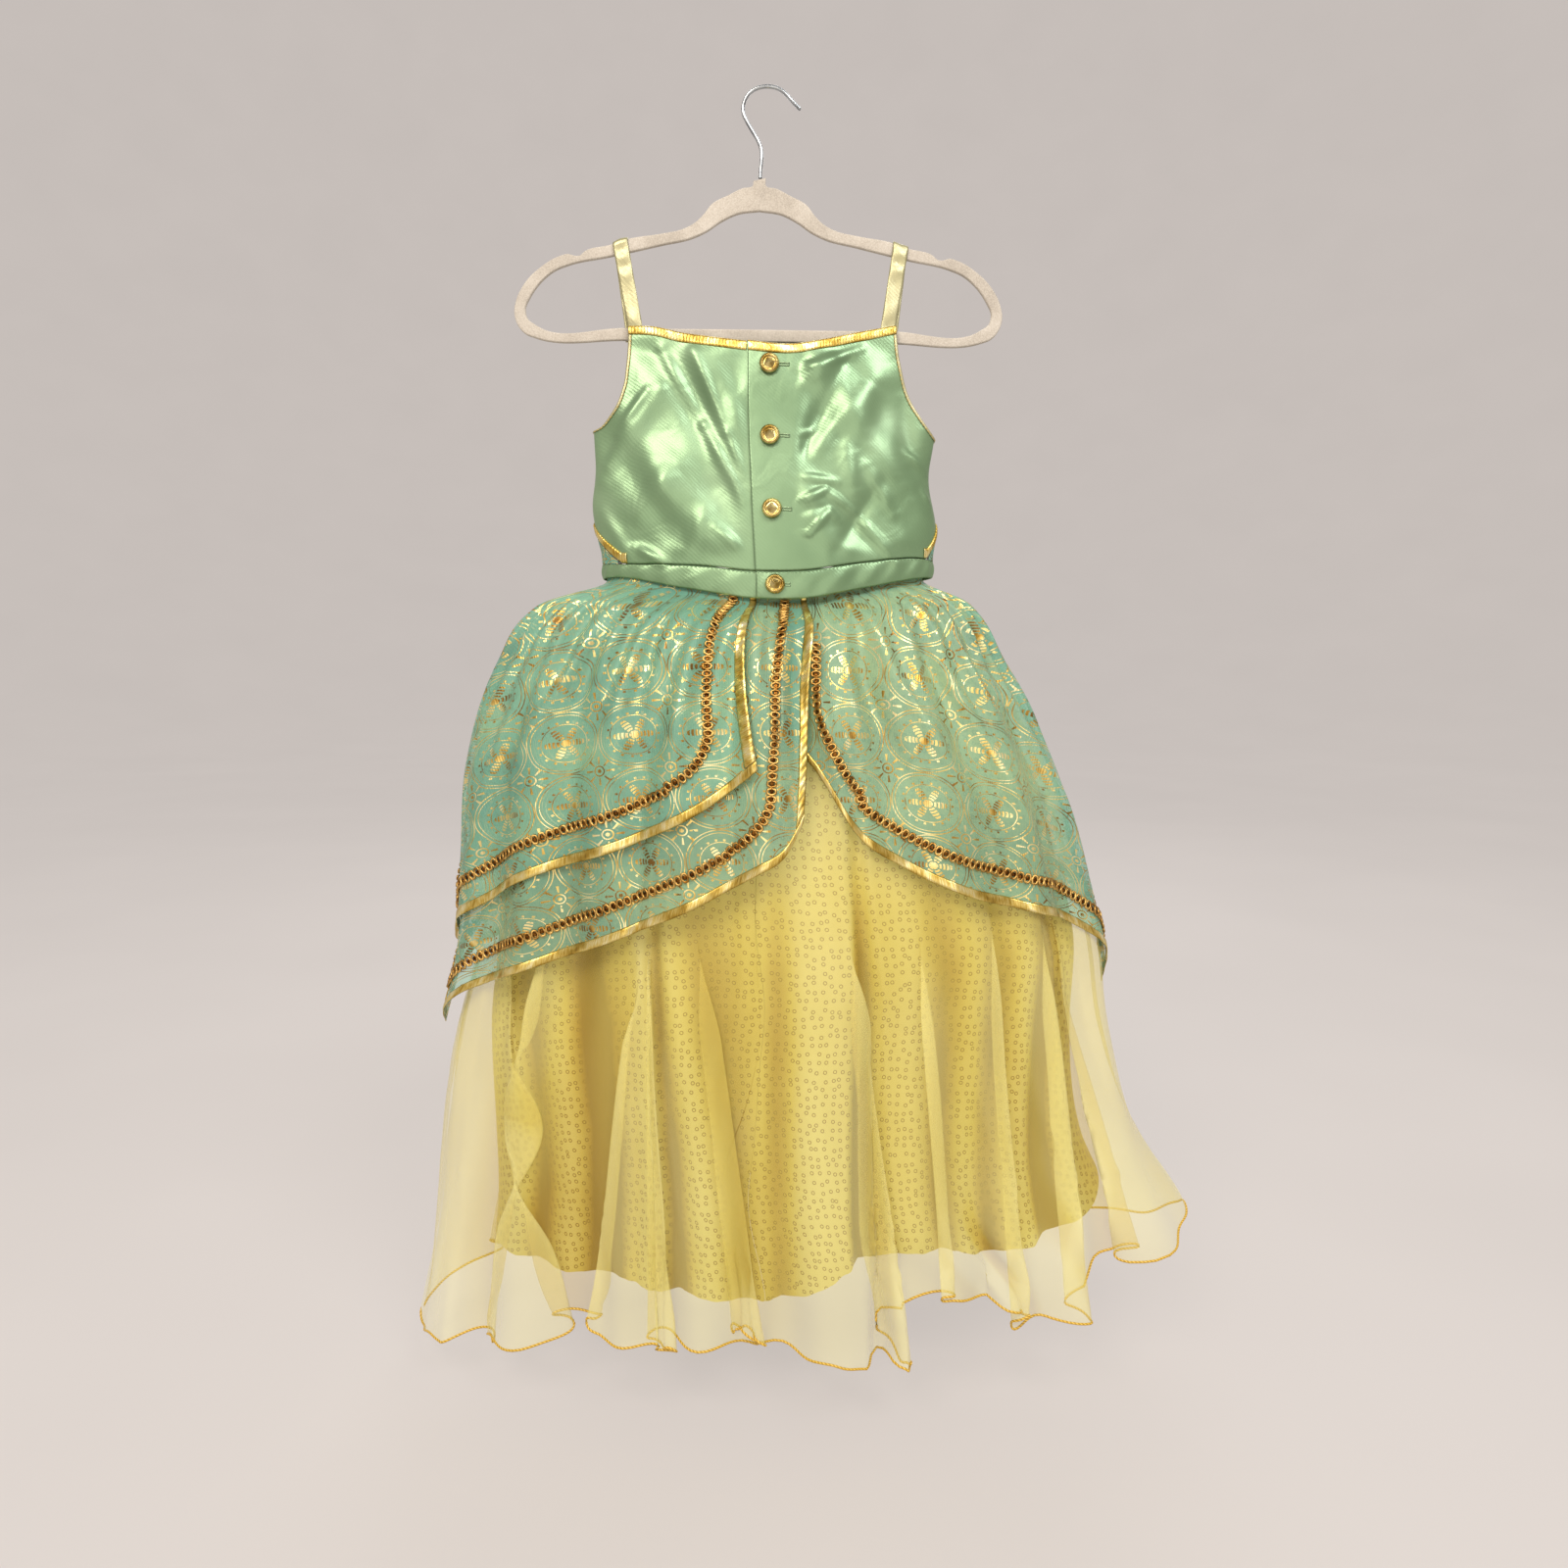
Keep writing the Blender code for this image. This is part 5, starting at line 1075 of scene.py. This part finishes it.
def skirtPanel(name, first, last, hem, rise, share, look, slotName, columns, rows, ruffle, folded,
               narrow=0.0):
    # A panel between two fold stations. Its columns keep to the folds, its rows run evenly down to the hem,
    # and a sum of sine waves along the hem moves it in depth, and outward too where it is ruffled.
    near, begin = skirtGrid["near"], skirtGrid["begin"]
    known = len(near)
    place = np.linspace(first, last, columns)
    shares = np.linspace(0, 1, rows - known - 1) ** 0.97
    track = np.concatenate([near, begin + skirtGrid["reach"] * shares, [begin + skirtGrid["reach"]]])
    turn = []
    for one in track:
        turns = foldStations(one)[0]
        turn.append(np.interp(place, np.arange(len(turns)), turns))
    turn = np.array(turn)
    turn[:, 0] += skirtGrid["seam"]
    turn[:, -1] -= skirtGrid["seam"]
    level = curve(wrapTurn(turn), hem["turn"], hem["level"])
    deepest = bandEdge(turn, "bottom") - level
    wave = np.sin(2 * math.pi * place * 0.83 + 2 * np.sin(place)) + 0.35 * np.sin(2 * math.pi * place * 2.17)
    deepest = deepest + (0.0030 * wave if ruffle else 0.0008 * wave)
    drop = np.concatenate([near, np.full(rows - known, begin)])[:, None] + 0 * turn
    drop[known:] = begin + (deepest[known:] - begin) * np.linspace(0, 1, rows - known)[:, None]
    extra = smallFolds if folded else None

    def base(a, b):
        return skirt(a, b, rise, share, 0.0, extra, narrow)

    bent, out = pleated(turn, drop) if folded else (turn, 0 * turn)
    outward = normalsOf(base, bent, drop)
    if ruffle:
        grown = smooth((np.linspace(0, 1, rows)[:, None] - 0.80) / 0.2)
        waves = 0.75 * np.cos(math.pi * 2 * (place - first)) + 0.35 * np.cos(9.1 * place + 1.0)
        out = out + ruffle * grown * waves
    points = base(bent, drop) + outward * out[..., None]
    unwound = np.where(turn > 2, turn - 4, turn) if name.endswith("front_left") else np.minimum(turn, 2)
    # This attribute is 1 in the valleys of the folds and 0 on the crests; the skirt materials darken their
    # colour by it, as painted shade in the valleys.
    piece = addSheet(name, points, outward, look, slotName, name, uv=unrolled(unwound, drop, 0.55))
    mark = piece.data.attributes.new("painted_fold_shade", "FLOAT", "POINT")
    depth = smooth(0.5 - foldHeight(turn, drop) / 0.026) * smooth((drop - 0.15) / 0.2)
    depth = depth * smooth(1 - out / 0.003)
    mark.data.foreach_set("value", depth.astype(np.float32).ravel())
    return piece, points, outward


skirtEnds = {"start": 0, "backSeam": 10, "side": len(backFolds["high"]) + 1, "frontSeam": 29}
skirtEnds["end"] = skirtEnds["side"] + len(frontFolds["high"]) + 1
organzaHem = {
    "turn": [-2, -1.5, -1.12, -1, -0.636, -0.504, -0.358, -0.29, -0.158, -0.078, 0.02, 0.118, 0.165,
            0.22, 0.3, 0.414, 0.5, 0.64, 1, 1.5, 2],
    "level": [-1.092, -1.1, -1.14, -1.165, -1.146, -1.139, -1.104, -1.122, -1.116, -1.108, -1.127,
            -1.123, -1.08, -1.066, -1.096, -1.104, -1.064, -1.062, -1.052, -1.086, -1.092],
}
dottedHem = {
    "turn": [-2, -1, -0.4, 0, 0.13, 0.4, 1, 2],
    "level": [-1.03, -1.07, -1.076, -1.076, -1.046, -1.05, -1.005, -1.03],
}
organza = {"rise": riseFrom(firstTuck - 3.7 * pitch, 0.0), "share": 1.0, "rows": 160, "ruffle": 0.006,
           "panels": (("back_left", "start", "backSeam", 210), ("back_right", "backSeam", "side", 225),
                      ("front", "side", "end", 260))}
dotted = {"rise": riseFrom(firstTuck - 4.7 * pitch, -0.013), "sink": 0.004, "share": 0.6, "rows": 90,
          "narrow": 0.13,
          "panels": (("back_left", "start", "backSeam", 130), ("back_right", "backSeam", "side", 140),
                     ("front_right", "side", "frontSeam", 80), ("front_left", "frontSeam", "end", 80))}


def dottedRise(drop):
    return dotted["rise"](drop) - dotted["sink"] * smooth((drop - 0.25) / 0.25)


skirtPieces = {}
for name, first, last, columns in organza["panels"]:
    piece, points, outward = skirtPanel("organza_skirt_" + name, skirtEnds[first], skirtEnds[last],
                                        organzaHem, organza["rise"], organza["share"], yellowOrganza,
                                        "organza", columns, organza["rows"], organza["ruffle"], True)
    roll = addRoll("hem_roll_" + name, points[-1], rolledThread, hemRoll["radius"])
    skirtPieces["organza_skirt_" + name] = (piece, [roll])
for name, first, last, columns in dotted["panels"]:
    piece, points, outward = skirtPanel("dotted_skirt_" + name, skirtEnds[first], skirtEnds[last], dottedHem,
                                        dottedRise, dotted["share"], dottedSatin, "dotted", columns,
                                        dotted["rows"], 0.0, False, dotted["narrow"])
    skirtPieces["dotted_skirt_" + name] = (piece, [])
print("skirts made")


# Overskirt tiers with their ribbon edge and braid

# The lower edge of each tier, from its back corner round its side to its front corner.
leftUpperEdge = {
    "turn": [-0.01, -0.109, -0.252, -0.461, -0.766, -1, -1.09, -1.3, -1.55, -1.8],
    "drop": [0.146, 0.18, 0.217, 0.254, 0.312, 0.336, 0.285, 0.262, 0.225, 0.15],
}
leftLowerEdge = {
    "turn": [0.067, 0.02, -0.03, -0.196, -0.41, -0.69, -1, -1.09, -1.3, -1.6, -1.96],
    "drop": [0.192, 0.222, 0.236, 0.28, 0.326, 0.376, 0.416, 0.37, 0.345, 0.3, 0.215],
}
rightEdge = {
    "turn": [0.04, 0.104, 0.179, 0.255, 0.394, 0.525, 0.692, 0.845, 1, 1.09, 1.3, 1.6, 1.96],
    "drop": [0.12, 0.146, 0.21, 0.238, 0.273, 0.293, 0.315, 0.345, 0.388, 0.335, 0.3, 0.26, 0.19],
}
# Creases of the tiers: (arc, drop) to (arc, drop), half width and height.
tierCreases = {
    "left_upper": (
        (-0.045, 0.030, -0.060, 0.190, 0.0080, 0.0034), (-0.095, 0.020, -0.130, 0.220, 0.0070, -0.0030),
        (-0.120, 0.020, -0.175, 0.180, 0.0060, 0.0028), (-0.165, 0.020, -0.215, 0.260, 0.0080, 0.0034),
        (-0.205, 0.030, -0.260, 0.210, 0.0065, -0.0026), (-0.250, 0.060, -0.285, 0.300, 0.0080, 0.0030),
        (-0.075, 0.080, -0.100, 0.200, 0.0060, 0.0022), (-0.330, 0.030, -0.360, 0.240, 0.0090, 0.0032),
        (-0.430, 0.030, -0.440, 0.200, 0.0090, 0.0030),
    ),
    "left_lower": (
        (0.000, 0.020, 0.010, 0.200, 0.0050, 0.0024), (0.026, 0.010, 0.016, 0.200, 0.0040, -0.0022),
        (-0.060, 0.180, -0.085, 0.310, 0.0070, 0.0024), (-0.150, 0.240, -0.165, 0.350, 0.0070, 0.0022),
        (-0.230, 0.260, -0.250, 0.380, 0.0070, 0.0024), (-0.350, 0.100, -0.380, 0.330, 0.0090, 0.0030),
        (-0.480, 0.060, -0.500, 0.270, 0.0090, 0.0028),
    ),
    "right": (
        (0.040, 0.020, 0.046, 0.160, 0.0050, 0.0026), (0.070, 0.010, 0.100, 0.220, 0.0070, -0.0032),
        (0.095, 0.010, 0.130, 0.200, 0.0060, 0.0032), (0.140, 0.010, 0.190, 0.280, 0.0070, 0.0034),
        (0.175, 0.010, 0.240, 0.240, 0.0065, -0.0028), (0.205, 0.020, 0.275, 0.300, 0.0075, 0.0034),
        (0.250, 0.030, 0.300, 0.330, 0.0075, -0.0026), (0.120, 0.120, 0.150, 0.260, 0.0060, 0.0022),
        (0.350, 0.030, 0.380, 0.290, 0.0090, 0.0032), (0.450, 0.030, 0.470, 0.250, 0.0090, 0.0030),
    ),
}
# "top" is the turn of each tier's back and front ends at the waistband.
tiers = {
    "left_upper": {"top": (-0.045, -1.80), "rise": 0.0265, "share": 0.45, "tucked": firstTuck,
                   "edge": leftUpperEdge, "covered": False},
    "left_lower": {"top": (0.160, -1.96), "rise": 0.0195, "share": 0.55, "tucked": firstTuck - 1.4 * pitch,
                   "edge": leftLowerEdge, "covered": False},
    "right": {"top": (0.080, 1.96), "rise": 0.0100, "share": 0.65, "tucked": firstTuck - 2.4 * pitch,
              "edge": rightEdge, "covered": True},
}
trim = {"tape": 0.009, "braidMiddle": 0.032, "corner": 0.030, "loopPitch": 0.0066, "loopWide": 0.0050,
        "loopLong": 0.0038, "wire": 0.0011, "braidFrom": 0.02, "tapeFrom": 0.012, "coveredFrom": 0.30,
        "coveredTape": 0.28, "pucker": 0.0002, "gathers": 0.0022, "crest": 1.7, "valley": 1.2}


def edgeAt(edge, share):
    # Points of a tier's lower edge at shares of its own length, rounded between its measured points.
    turn, drop = np.array(edge["turn"]), np.array(edge["drop"])
    length = lengthAlong(np.stack([turn, drop], -1))
    return curve(share * length[-1], length, turn), curve(share * length[-1], length, drop)


for key, spec in tiers.items():
    rise = riseFrom(spec["tucked"], spec["rise"])

    def small(turn, drop):
        # The gathers, and the tier's own creases with their crests raised more than their valleys are cut.
        fine = ridges(tierCreases[key], turn * 0.30, drop)
        return gathered(turn, drop) + np.where(fine > 0, trim["crest"], trim["valley"]) * fine

    def base(a, b):
        return skirt(a, b, rise, spec["share"], trim["gathers"], small)

    def place(u, v):
        # Straight lines of turn and drop from the waistband to the lower edge.
        turnLow, dropLow = edgeAt(spec["edge"], u)
        turnHigh = spec["top"][0] + (spec["top"][1] - spec["top"][0]) * u
        return turnHigh + (turnLow - turnHigh) * v, -layer["tuck"] + (dropLow + layer["tuck"]) * v

    def at(u, v, height=0.0):
        turn, drop = place(u, v)
        outward = normalsOf(base, turn, drop)
        return base(turn, drop) + outward * (height + 0 * turn)[..., None], outward

    # The length round the tier at three fifths of its depth.
    span = np.linalg.norm(np.diff(at(np.linspace(0, 1, 60), np.full(60, 0.6))[0], axis=0), axis=-1).sum()
    us = np.concatenate([np.linspace(0, 1, 210), np.linspace(0, 0.05, 24), np.linspace(0.95, 1, 16)])
    us = np.unique(us)
    vs = np.unique(np.concatenate([np.linspace(0, 0.2, 32), np.linspace(0.2, 1, 84)]))
    u, v = np.meshgrid(us, vs)
    points, outward = at(u, v)
    piece = addSheet("overskirt_" + key, points, outward, foilPrint, "print", "overskirt_" + key,
                     uv=unrolled(*place(u, v), 0.32))

    def tall(u):
        # How long the tier is from the waistband to its edge, from its lowest fifth.
        return np.linalg.norm(at(u, np.ones_like(u))[0] - at(u, np.full_like(u, 0.8))[0], axis=-1) / 0.2

    def inset(distance, corner, step):
        # The path at a distance from the back edge, the lower edge and the front edge, with rounded corners,
        # as points a step apart.
        side, wide = distance / span, corner / span
        bend = np.linspace(0, math.pi / 2, 14)
        high = trim["coveredFrom"] if spec["covered"] else trim["braidFrom"]
        tallness = tall(np.array([side, 1 - side]))
        low, deep = 1 - distance / tallness, corner / tallness
        middle = np.linspace(side + wide, 1 - side - wide, 400)[1:-1]
        pathU = np.concatenate([np.full(60, side), side + wide * (1 - np.cos(bend)), middle,
                                1 - side - wide * (1 - np.sin(bend)), np.full(60, 1 - side)])
        pathV = np.concatenate([np.linspace(high, low[0] - deep[0], 60),
                                low[0] - deep[0] * (1 - np.sin(bend)), 1 - distance / tall(middle),
                                low[1] - deep[1] * (1 - np.cos(bend)),
                                np.linspace(low[1] - deep[1], trim["braidFrom"], 60)])
        length = lengthAlong(at(pathU, pathV)[0])
        even = np.linspace(0, length[-1], int(length[-1] / step) + 1)
        return np.interp(even, length, pathU), np.interp(even, length, pathV)

    # Ribbon along the three free sides, as three strips that meet at the corners.
    side = trim["tape"] / span
    start = trim["coveredTape"] if spec["covered"] else trim["tapeFrom"]
    whole, shareAcross = np.linspace(0, 1, 360), np.linspace(0, 1, 7)[:, None]
    low = 1 - trim["tape"] / tall(whole)
    lower = (np.tile(whole, (7, 1)), low + (1 - low) * shareAcross)
    back = (np.tile(side * shareAcross, (1, 160)), np.tile(np.linspace(start, low[0], 160), (7, 1)))
    fore = (np.tile(1 - side * shareAcross, (1, 160)),
            np.tile(np.linspace(trim["tapeFrom"], low[-1], 160), (7, 1)))
    across = np.abs(np.linspace(-1, 1, 7))[:, None]
    allPoints, allFaces, allUv, count = [], [], [], 0
    for stripU, stripV in (lower, back, fore):
        pucker = trim["pucker"] * np.sin(np.arange(stripU.shape[1]) * 0.9)
        spots, outs = at(stripU, stripV, layer["gap"] + layer["trim"] * (1 - 0.7 * across ** 6) + pucker)
        flat = spots.reshape(-1, 3)
        allPoints.append(flat)
        allFaces.append(lookOut(gridFaces(*spots.shape[:2]), flat, outs.reshape(-1, 3)) + count)
        allUv.append(clothUv(spots).reshape(-1, 2))
        count += len(flat)
    tapePiece = addPiece("overskirt_tape_" + key, np.concatenate(allPoints), np.concatenate(allFaces),
                         goldTape, np.concatenate(allUv), "overskirt_tape_" + key, wall=0.0006)

    # Braid: a chain of gold loops round dark sequins, one link every loopPitch.
    spots, outs = at(*inset(trim["braidMiddle"], trim["corner"], trim["loopPitch"]), layer["gap"])
    along = unitOf(np.gradient(spots, axis=0))
    across = np.cross(outs, along)
    axes = np.stack([along, across, outs], 1)
    ringA, tubeA = np.meshgrid(np.linspace(0, 2 * math.pi, 14, endpoint=False),
                               np.linspace(0, 2 * math.pi, 6, endpoint=False), indexing="ij")
    # A link is a tube round an oval whose radius swells six times round by a tenth.
    wire = trim["wire"]
    scallop = 1 + 0.10 * np.cos(6 * ringA)
    link = np.stack([(trim["loopLong"] - wire + wire * np.cos(tubeA)) * np.cos(ringA) * scallop,
                     (trim["loopWide"] - wire + wire * np.cos(tubeA)) * np.sin(ringA) * scallop,
                     wire * 1.1 + wire * np.sin(tubeA) + 0.0003 * np.cos(ringA)], -1).reshape(-1, 3)
    linkOut = np.stack([np.cos(tubeA) * np.cos(ringA), np.cos(tubeA) * np.sin(ringA), np.sin(tubeA)], -1)
    linkFaces = lookOut(gridFaces(14, 6, True, True), link, linkOut.reshape(-1, 3))
    placed = spots[:, None] + np.einsum("vk,nkj->nvj", link, axes)
    braidPiece = addPiece("overskirt_braid_" + key, placed, manyFaces(linkFaces, len(spots), len(link)),
                          braidGold, None, "overskirt_braid_" + key)
    # Sequins: eight-sided cupped discs in each loop, each tilted its own way.
    ringB = np.linspace(0, 2 * math.pi, 8, endpoint=False)
    rings = np.array([(0.0, 0.0005), (0.0010, 0.0008), (0.0019, 0.0006), (0.0021, 0.0)])
    disc = np.stack([rings[:, :1] * np.cos(ringB), 1.05 * rings[:, :1] * np.sin(ringB),
                     rings[:, 1:] + 0 * ringB], -1).reshape(-1, 3)
    tilt = 0.25 * np.sin(np.arange(len(spots)) * 2.4)[:, None]
    leaning = np.stack([along, across * np.cos(tilt) - outs * np.sin(tilt),
                        outs * np.cos(tilt) + across * np.sin(tilt)], 1)
    placed = spots[:, None] + np.einsum("vk,nkj->nvj", disc, leaning)
    faces = manyFaces(gridFaces(4, 8, False, True), len(spots), len(disc))
    faces = lookOut(faces, placed.reshape(-1, 3), np.repeat(outs, len(disc), 0))
    sequins = addPiece("braid_sequins_" + key, placed, faces, sequinBrown, None, ())
    skirtPieces["overskirt_" + key] = (piece, [tapePiece, braidPiece, sequins])
print("overskirt made")


# Hanger: one rounded section carried round the outline, and a bent wire hook

hangerInner = {
    "across": [0, 0.02, 0.0353, 0.0475, 0.0583, 0.0889, 0.1351, 0.1735, 0.1844, 0.1969, 0.208,
            0.2121, 0.2105, 0.2026, 0.1224],
    "level": [-0.1033, -0.1062, -0.1134, -0.1214, -0.1264, -0.1336, -0.1439, -0.1519, -0.1562,
            -0.1657, -0.1804, -0.1892, -0.198, -0.204, -0.2055],
}
hookPath = {
    "x": [-0.0101, -0.0101, -0.0119, -0.0166, -0.0216, -0.0248, -0.0253, -0.0237, -0.0201, -0.0143,
            -0.007, 0, 0.0062, 0.0117, 0.0161, 0.0205, 0.0241, 0.0263],
    "level": [-0.0748, -0.0474, -0.0433, -0.0358, -0.0276, -0.0208, -0.0154, -0.0098, -0.004, 0,
            0.002, 0.002, 0.0004, -0.003, -0.0074, -0.0119, -0.0153, -0.0175],
}
# The marks match points of the two outlines, and the bar's middle closes both.
hanger = {"edge": 0.0016, "matchOuter": (0, 5, 10, 16, 19, 22, 23, 24),
          "matchInner": (0, 3, 6, 9, 11, 13, 14, 15),
          "barLow": (0.0, -0.2165), "barHigh": (0.0, -0.2055), "wire": 0.0017}


def outline(table, marks, bottom):
    # Evenly many points between each pair of matching marks, from the top middle down to the bottom middle.
    x = np.concatenate([table["across"], [bottom[0]]])
    z = np.concatenate([table["level"], [bottom[1]]])
    knots = lengthAlong(np.stack([x, z], -1))
    ts = [np.linspace(knots[a], knots[b], 26)[:-1] for a, b in zip(marks[:-1], marks[1:])]
    ts = np.concatenate(ts + [[knots[marks[-1]]]])
    return np.stack([curve(ts, knots, x), curve(ts, knots, z)], -1)


outer = outline(hangerOuter, hanger["matchOuter"], hanger["barLow"])
inner = outline(hangerInner, hanger["matchInner"], hanger["barHigh"])
outer, inner = (np.concatenate([line, line[-2:0:-1] * (-1, 1)]) for line in (outer, inner))
half, edge = hangerPlace["half"], hanger["edge"]
unit = (inner - outer) / np.linalg.norm(inner - outer, axis=-1)[:, None]
# The section's four rounded corners: how far in from the outline and how deep each of six points lies.
bend = np.linspace(0, math.pi / 2, 6)
corner = list(zip(edge * (1 - np.sin(bend)), (half - edge) + edge * np.cos(bend)))
rows = ([(outer + unit * inward, -depth) for inward, depth in corner]
        + [(outer + unit * inward, depth) for inward, depth in corner[::-1]]
        + [(inner - unit * inward, depth) for inward, depth in corner]
        + [(inner - unit * inward, -depth) for inward, depth in corner[::-1]])
flatRows = np.stack([np.stack([xz[:, 0], np.full(len(xz), y), xz[:, 1]], -1) for xz, y in rows])
tilt = hangerPlace["tilt"]
turned = flatRows.copy()
turned[..., 0] = flatRows[..., 0] * math.cos(tilt) + flatRows[..., 2] * math.sin(tilt)
turned[..., 2] = -flatRows[..., 0] * math.sin(tilt) + flatRows[..., 2] * math.cos(tilt)
turned[..., 0] += hangerPlace["x"] - tilt * hangerOuter["level"][0]
around = turned - turned.mean(0, keepdims=True)
addSheet("hanger_body_flocked", turned, around, ivoryFlock, "flock", "hanger_body", joinRows=True,
         joinCols=True)

# The hook: a round wire along its path, with a rounded tip.
path = np.stack([hookPath["x"], np.zeros(len(hookPath["x"])), hookPath["level"]], -1)
knots = lengthAlong(path)
fine = np.linspace(0, knots[-1], 220)
path = np.stack([curve(fine, knots, path[:, k]) for k in range(3)], -1)
facing = np.array([0.0, 1.0, 0.0])
sideways = np.cross(unitOf(np.gradient(path, axis=0)), facing)
angle = np.linspace(0, 2 * math.pi, 20, endpoint=False)[None, :, None]
tip = np.sqrt(np.clip(1 - (1 - np.clip((fine[-1] - fine) / hanger["wire"], 0, 1)) ** 2, 0.0004, 1))
out = np.cos(angle) * sideways[:, None] + np.sin(angle) * facing
wire = path[:, None] + out * (hanger["wire"] * tip)[:, None, None]
addSheet("hanger_hook_wire", wire, out, hookSteel, "steel", "hanger_hook", joinCols=True)
print("hanger made")


# What is sewn onto each skirt piece, added to the same table as the bodice's sewn-on pieces.

sewnOn.update({name: others for name, (piece, others) in skirtPieces.items()})


# Stage, light and camera

# A round floor, flat in the middle, whose border climbs as a quarter of an oval.
stage = {"floor": -1.20, "flat": 6.0, "reach": 12.0, "rise": 9.0}
floorTurn, climb = np.linspace(0, 2 * math.pi, 96, endpoint=False), np.linspace(0, math.pi / 2, 16)[1:]
radii = np.concatenate([[0.001, 1.0, 2.0, stage["flat"]],
                        stage["flat"] + (stage["reach"] - stage["flat"]) * np.sin(climb)])
levels = np.concatenate([[0, 0, 0, 0], stage["rise"] * (1 - np.cos(climb))])
floorPoints = np.stack([radii[:, None] * np.cos(floorTurn), radii[:, None] * np.sin(floorTurn),
                        stage["floor"] + levels[:, None] + 0 * floorTurn], -1)
backdrop, tree, shader = startMaterial("matt_studio_paint", Roughness=0.9, Emission_Color="#C9C2BE",
                                       Emission_Strength=0.72)
paint = addNode(tree, "TexNoise", {"Vector": addNode(tree, "TexCoord").outputs["Object"], "Scale": 2.0})
tint = addNode(tree, "ValToRGB", [paint], stops=((0.3, "#85807C"), (0.7, "#8A8581")))
finish(tree, shader, Base_Color=tint)
floorFaces = gridFaces(len(radii), len(floorTurn), False, True)
floorMesh = bpy.data.meshes.new("floor")
floorMesh.from_pydata(floorPoints.reshape(-1, 3).tolist(), [], floorFaces.tolist())
floorMesh.polygons.foreach_set("use_smooth", np.ones(len(floorFaces), bool))
floorMesh.materials.append(backdrop)
floor = bpy.data.objects.new("floor", floorMesh)
bpy.context.scene.collection.objects.link(floor)

lights = {
    "key": {"place": (-0.7, -1.7, 1.0), "aimLevel": -0.5, "size": 1.0, "power": 35, "colour": "#FFF6EA"},
    "second": {"place": (0.9, -1.5, 1.1), "aimLevel": -0.5, "size": 0.9, "power": 27, "colour": "#FFFFFF"},
    "back": {"place": (0.2, 2.2, 1.2), "aimLevel": -0.5, "size": 1.8, "power": 26, "colour": "#FFFFFF"},
    "low": {"place": (0.0, -2.4, -0.6), "aimLevel": -0.9, "size": 1.8, "power": 14, "colour": "#FFF8EE"},
}
for name, spec in lights.items():
    data = bpy.data.lights.new(name, "AREA")
    data.energy, data.size, data.color = spec["power"], spec["size"], linear(spec["colour"])[:3]
    lamp = bpy.data.objects.new(name, data)
    bpy.context.scene.collection.objects.link(lamp)
    lamp.location = spec["place"]
    toward = np.array((0.0, 0.0, spec["aimLevel"])) - np.array(spec["place"])
    flatWay = math.hypot(toward[0], toward[1])
    lamp.rotation_euler = (math.atan2(flatWay, -toward[2]), 0.0, math.atan2(-toward[0], toward[1]))
world = bpy.data.worlds.new("studio")
bpy.context.scene.world = world
world.use_nodes = True
world.node_tree.nodes["Background"].inputs["Color"].default_value = linear("#E9E7E6")
world.node_tree.nodes["Background"].inputs["Strength"].default_value = 0.62

view = {"place": (0.0113, -1.0758, -0.4825), "down": 7.5, "lens": 25.875}
cameraData = bpy.data.cameras.new("camera")
cameraData.lens, cameraData.sensor_width, cameraData.clip_end = view["lens"], 36.0, 50.0
camera = bpy.data.objects.new("camera", cameraData)
bpy.context.scene.collection.objects.link(camera)
camera.location = view["place"]
camera.rotation_euler = (math.radians(90 - view["down"]), 0.0, 0.0)
bpy.context.scene.camera = camera
bpy.context.scene.view_settings.view_transform = "Standard"
print("stage made")
